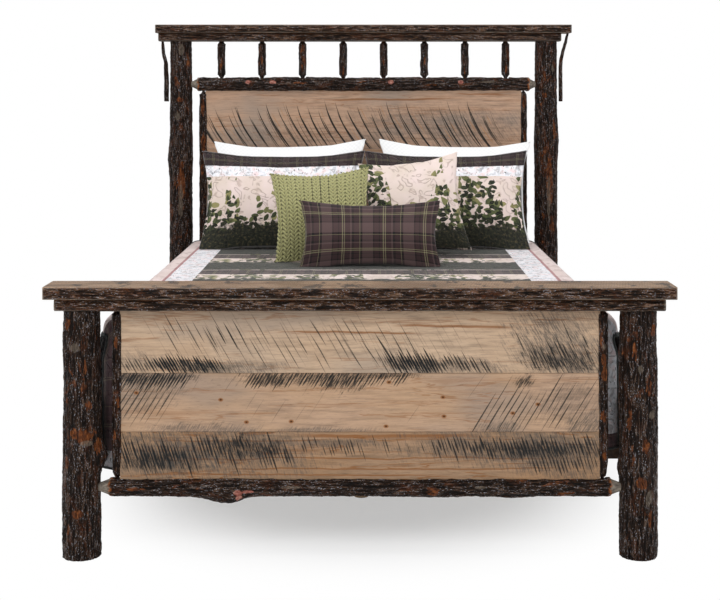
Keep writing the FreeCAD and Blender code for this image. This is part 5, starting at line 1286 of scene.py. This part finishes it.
def knit_stitches(piece, column, row, lift):
    """Raises plaited columns of stitches on a knitted cover. How high each point stands, hollows included, is kept
    for the colours, where the hollows get painted shade.
    """
    modify(piece, "SUBSURF", levels=1)
    count = len(piece.data.vertices)
    spots = {}
    for key in ("cloth_x", "cloth_y"):
        spots[key] = np.zeros(count)
        piece.data.attributes[key].data.foreach_get("value", spots[key])
    off = spots["cloth_x"] / column
    line = np.floor(off)
    side = 2 * abs(off - line - 0.5)
    phase = spots["cloth_y"] / row - 1.25 * side
    step = phase - np.floor(phase)
    strand = np.clip(np.sin(math.pi * np.clip(0.06 + 0.94 * side, 0, 1)), 0, 1) ** 0.5
    plump = (np.sin(math.pi * step) ** 0.6) * strand
    loops = np.zeros(3 * count)
    piece.data.vertices.foreach_get("normal", loops)
    points = points_of(piece) + loops.reshape(-1, 3) * ((plump - 0.85) * lift)[:, None]
    set_points(piece, points)
    give_values(piece, "stitch", plump)


def cover_material(name, front_colour, back_colour, puff=None, seam=None, size=(1, 1)):
    """The cloth of a pillow: a patterned front, a plain back, and a corded seam where a colour is given for it."""
    material = new_material(name)
    across, up = value_of(material, "cloth_x"), value_of(material, "cloth_y")
    colour = blend(value_of(material, "front"), rgba(*back_colour), front_colour(across, up))
    if seam is not None:
        edge = calc("MAXIMUM", abs(across) / (size[0] / 2), abs(up) / (size[1] / 2))
        colour = blend(edge > 0.985, colour, rgba(*seam))
    raised = quilting(across, up, puff) if puff else None
    return finish_cloth(material, colour, raised, 0.0018)


def white_check(across, up):
    """Faint squares in a white cloth."""
    bars = [calc("FRACT", way / 0.019) > 0.5 for way in (across, up)]
    squares = abs(bars[0] - bars[1])
    return blend(squares * 0.5, rgba(0.9, 0.9, 0.9), rgba(0.8, 0.81, 0.82))


def sham_front(across, up):
    """A plaid band and a speckled band along the top, over a field of leaves."""
    field = leafy_field(across, up + 0.225, 0.34, 5.0, 0.035)
    bands = speckled(across, up, 6.0)
    colour = blend(up > 0.098, field, bands)
    dark_band = blend(0.55, plaid(across, up, 0.12), rgba(0.016, 0.011, 0.012))
    return blend(up > 0.152, colour, dark_band)


def throw_front(across, up):
    return leafy_field(across, up + 0.205, 0.36, 9.0, 0.02)


def lumbar_front(across, up):
    return plaid(across + 0.03, up, 0.155)


covers = {
    "white_cotton": dict(front_colour=white_check, back_colour=(0.88, 0.88, 0.88)),
    "sham_cotton": dict(front_colour=sham_front, back_colour=(0.66, 0.58, 0.52), puff=20, seam=(0.16, 0.15, 0.15)),
    "throw_print": dict(front_colour=throw_front, back_colour=(0.66, 0.58, 0.52), puff=20),
    "dark_plaid": dict(front_colour=lumbar_front, back_colour=(0.05, 0.035, 0.036)),
}
for node, width, height, thickness, lean, tilt, slot, draw in pillow_sizes:
    case = sewn_pillow(node + "_case", width, height, thickness, CASE_MESH, draw, CASE_SLACK, PUFF)
    lean_back(case, node, lean, tilt)
    if slot == "sage_knit":
        knit_stitches(case, column=0.032, row=0.016, lift=0.0075)
        yarn_look = new_material("knit_" + node)
        plump = value_of(yarn_look, "stitch")
        yarn = spot_from(value_of(yarn_look, "cloth_x"), value_of(yarn_look, "cloth_y"))
        strand = noise(yarn, 420, 3, 0.6)
        green = ramp(strand, (0.3, (0.28, 0.27, 0.115)), (0.7, (0.5, 0.48, 0.235)))
        # Painted shade: the hollows between the knitted columns are darkened.
        green = blend(between(plump, 0.55, 0.1), green, rgba(0.035, 0.033, 0.014))
        fuzz = (strand + plump) * 0.5
        finish_material(yarn_look, green, 0.9, fuzz, 0.0016, sheen=0.35, specular=0.15)
        case.data.materials.append(yarn_look)
    else:
        case.data.materials.append(cover_material("cloth_" + node, size=(width, height), **covers[slot]))

# Scene: a pale floor in a white room, under three large soft lights. The camera stands in front of the foot of
# the bed, where the photograph was taken from.
clear_selection()
bpy.ops.mesh.primitive_plane_add(size=60, location=(0, 0, -0.0005))
floor = bpy.context.object
floor.name = "studio_floor"
paper = new_material("studio_paper")
lit = put(paper, "BsdfDiffuse", {"Color": rgba(0.93, 0.93, 0.93)})
plain = put(paper, "Emission", {"Color": rgba(1, 1, 1), "Strength": 1.0})
reach = put(paper, "VectorMath", {0: here(paper, (0.87, 0.69, 1))}, operation="LENGTH")["Value"]
share = between(reach, 0.5, 0.95) * 0.55 + 0.45
share = share * put(paper, "LightPath")["Is Camera Ray"]
paper_skin = put(paper, "MixShader", {0: share, 1: lit, 2: plain})
put(paper, "OutputMaterial", {"Surface": paper_skin})
floor.data.materials.append(paper)

room = bpy.data.worlds.new("studio")
bpy.context.scene.world = room
room.use_nodes = True
room.node_tree.nodes.clear()
soft = put(room, "Background", {"Color": rgba(0.95, 0.97, 1.0), "Strength": 0.42})
white = put(room, "Background", {"Color": rgba(1, 1, 1), "Strength": 1.0})
seen = put(room, "LightPath")["Is Camera Ray"]
either = put(room, "MixShader", {0: seen, 1: soft, 2: white})
put(room, "OutputWorld", {"Surface": either})

for name, spot, aim, size, power in (("key", (-2.6, -4.6, 3.6), (0, 0, 0.6), 2.2, 100),
                                     ("fill", (3.4, -4.2, 2.6), (0, 0, 0.6), 2.2, 55),
                                     ("top", (0, -0.6, 4.6), (0, 0, 0), 3.5, 110)):
    lamp = bpy.data.lights.new(name, "AREA")
    lamp.size = size
    lamp.energy = power
    light = bpy.data.objects.new("light_" + name, lamp)
    bpy.context.scene.collection.objects.link(light)
    light.location = spot
    light.rotation_euler = (Vector(aim) - Vector(spot)).to_track_quat("-Z", "Y").to_euler()

lens = bpy.data.cameras.new("camera")
lens.lens = 69.7
lens.sensor_width = 36
lens.shift_x = -0.0139
lens.shift_y = -0.294
camera = bpy.data.objects.new("camera", lens)
bpy.context.scene.collection.objects.link(camera)
camera.location = (0.029, -5.125, 1.36)
camera.rotation_euler = (math.pi / 2, 0, 0)
bpy.context.scene.camera = camera
bpy.context.scene.view_settings.view_transform = "Standard"
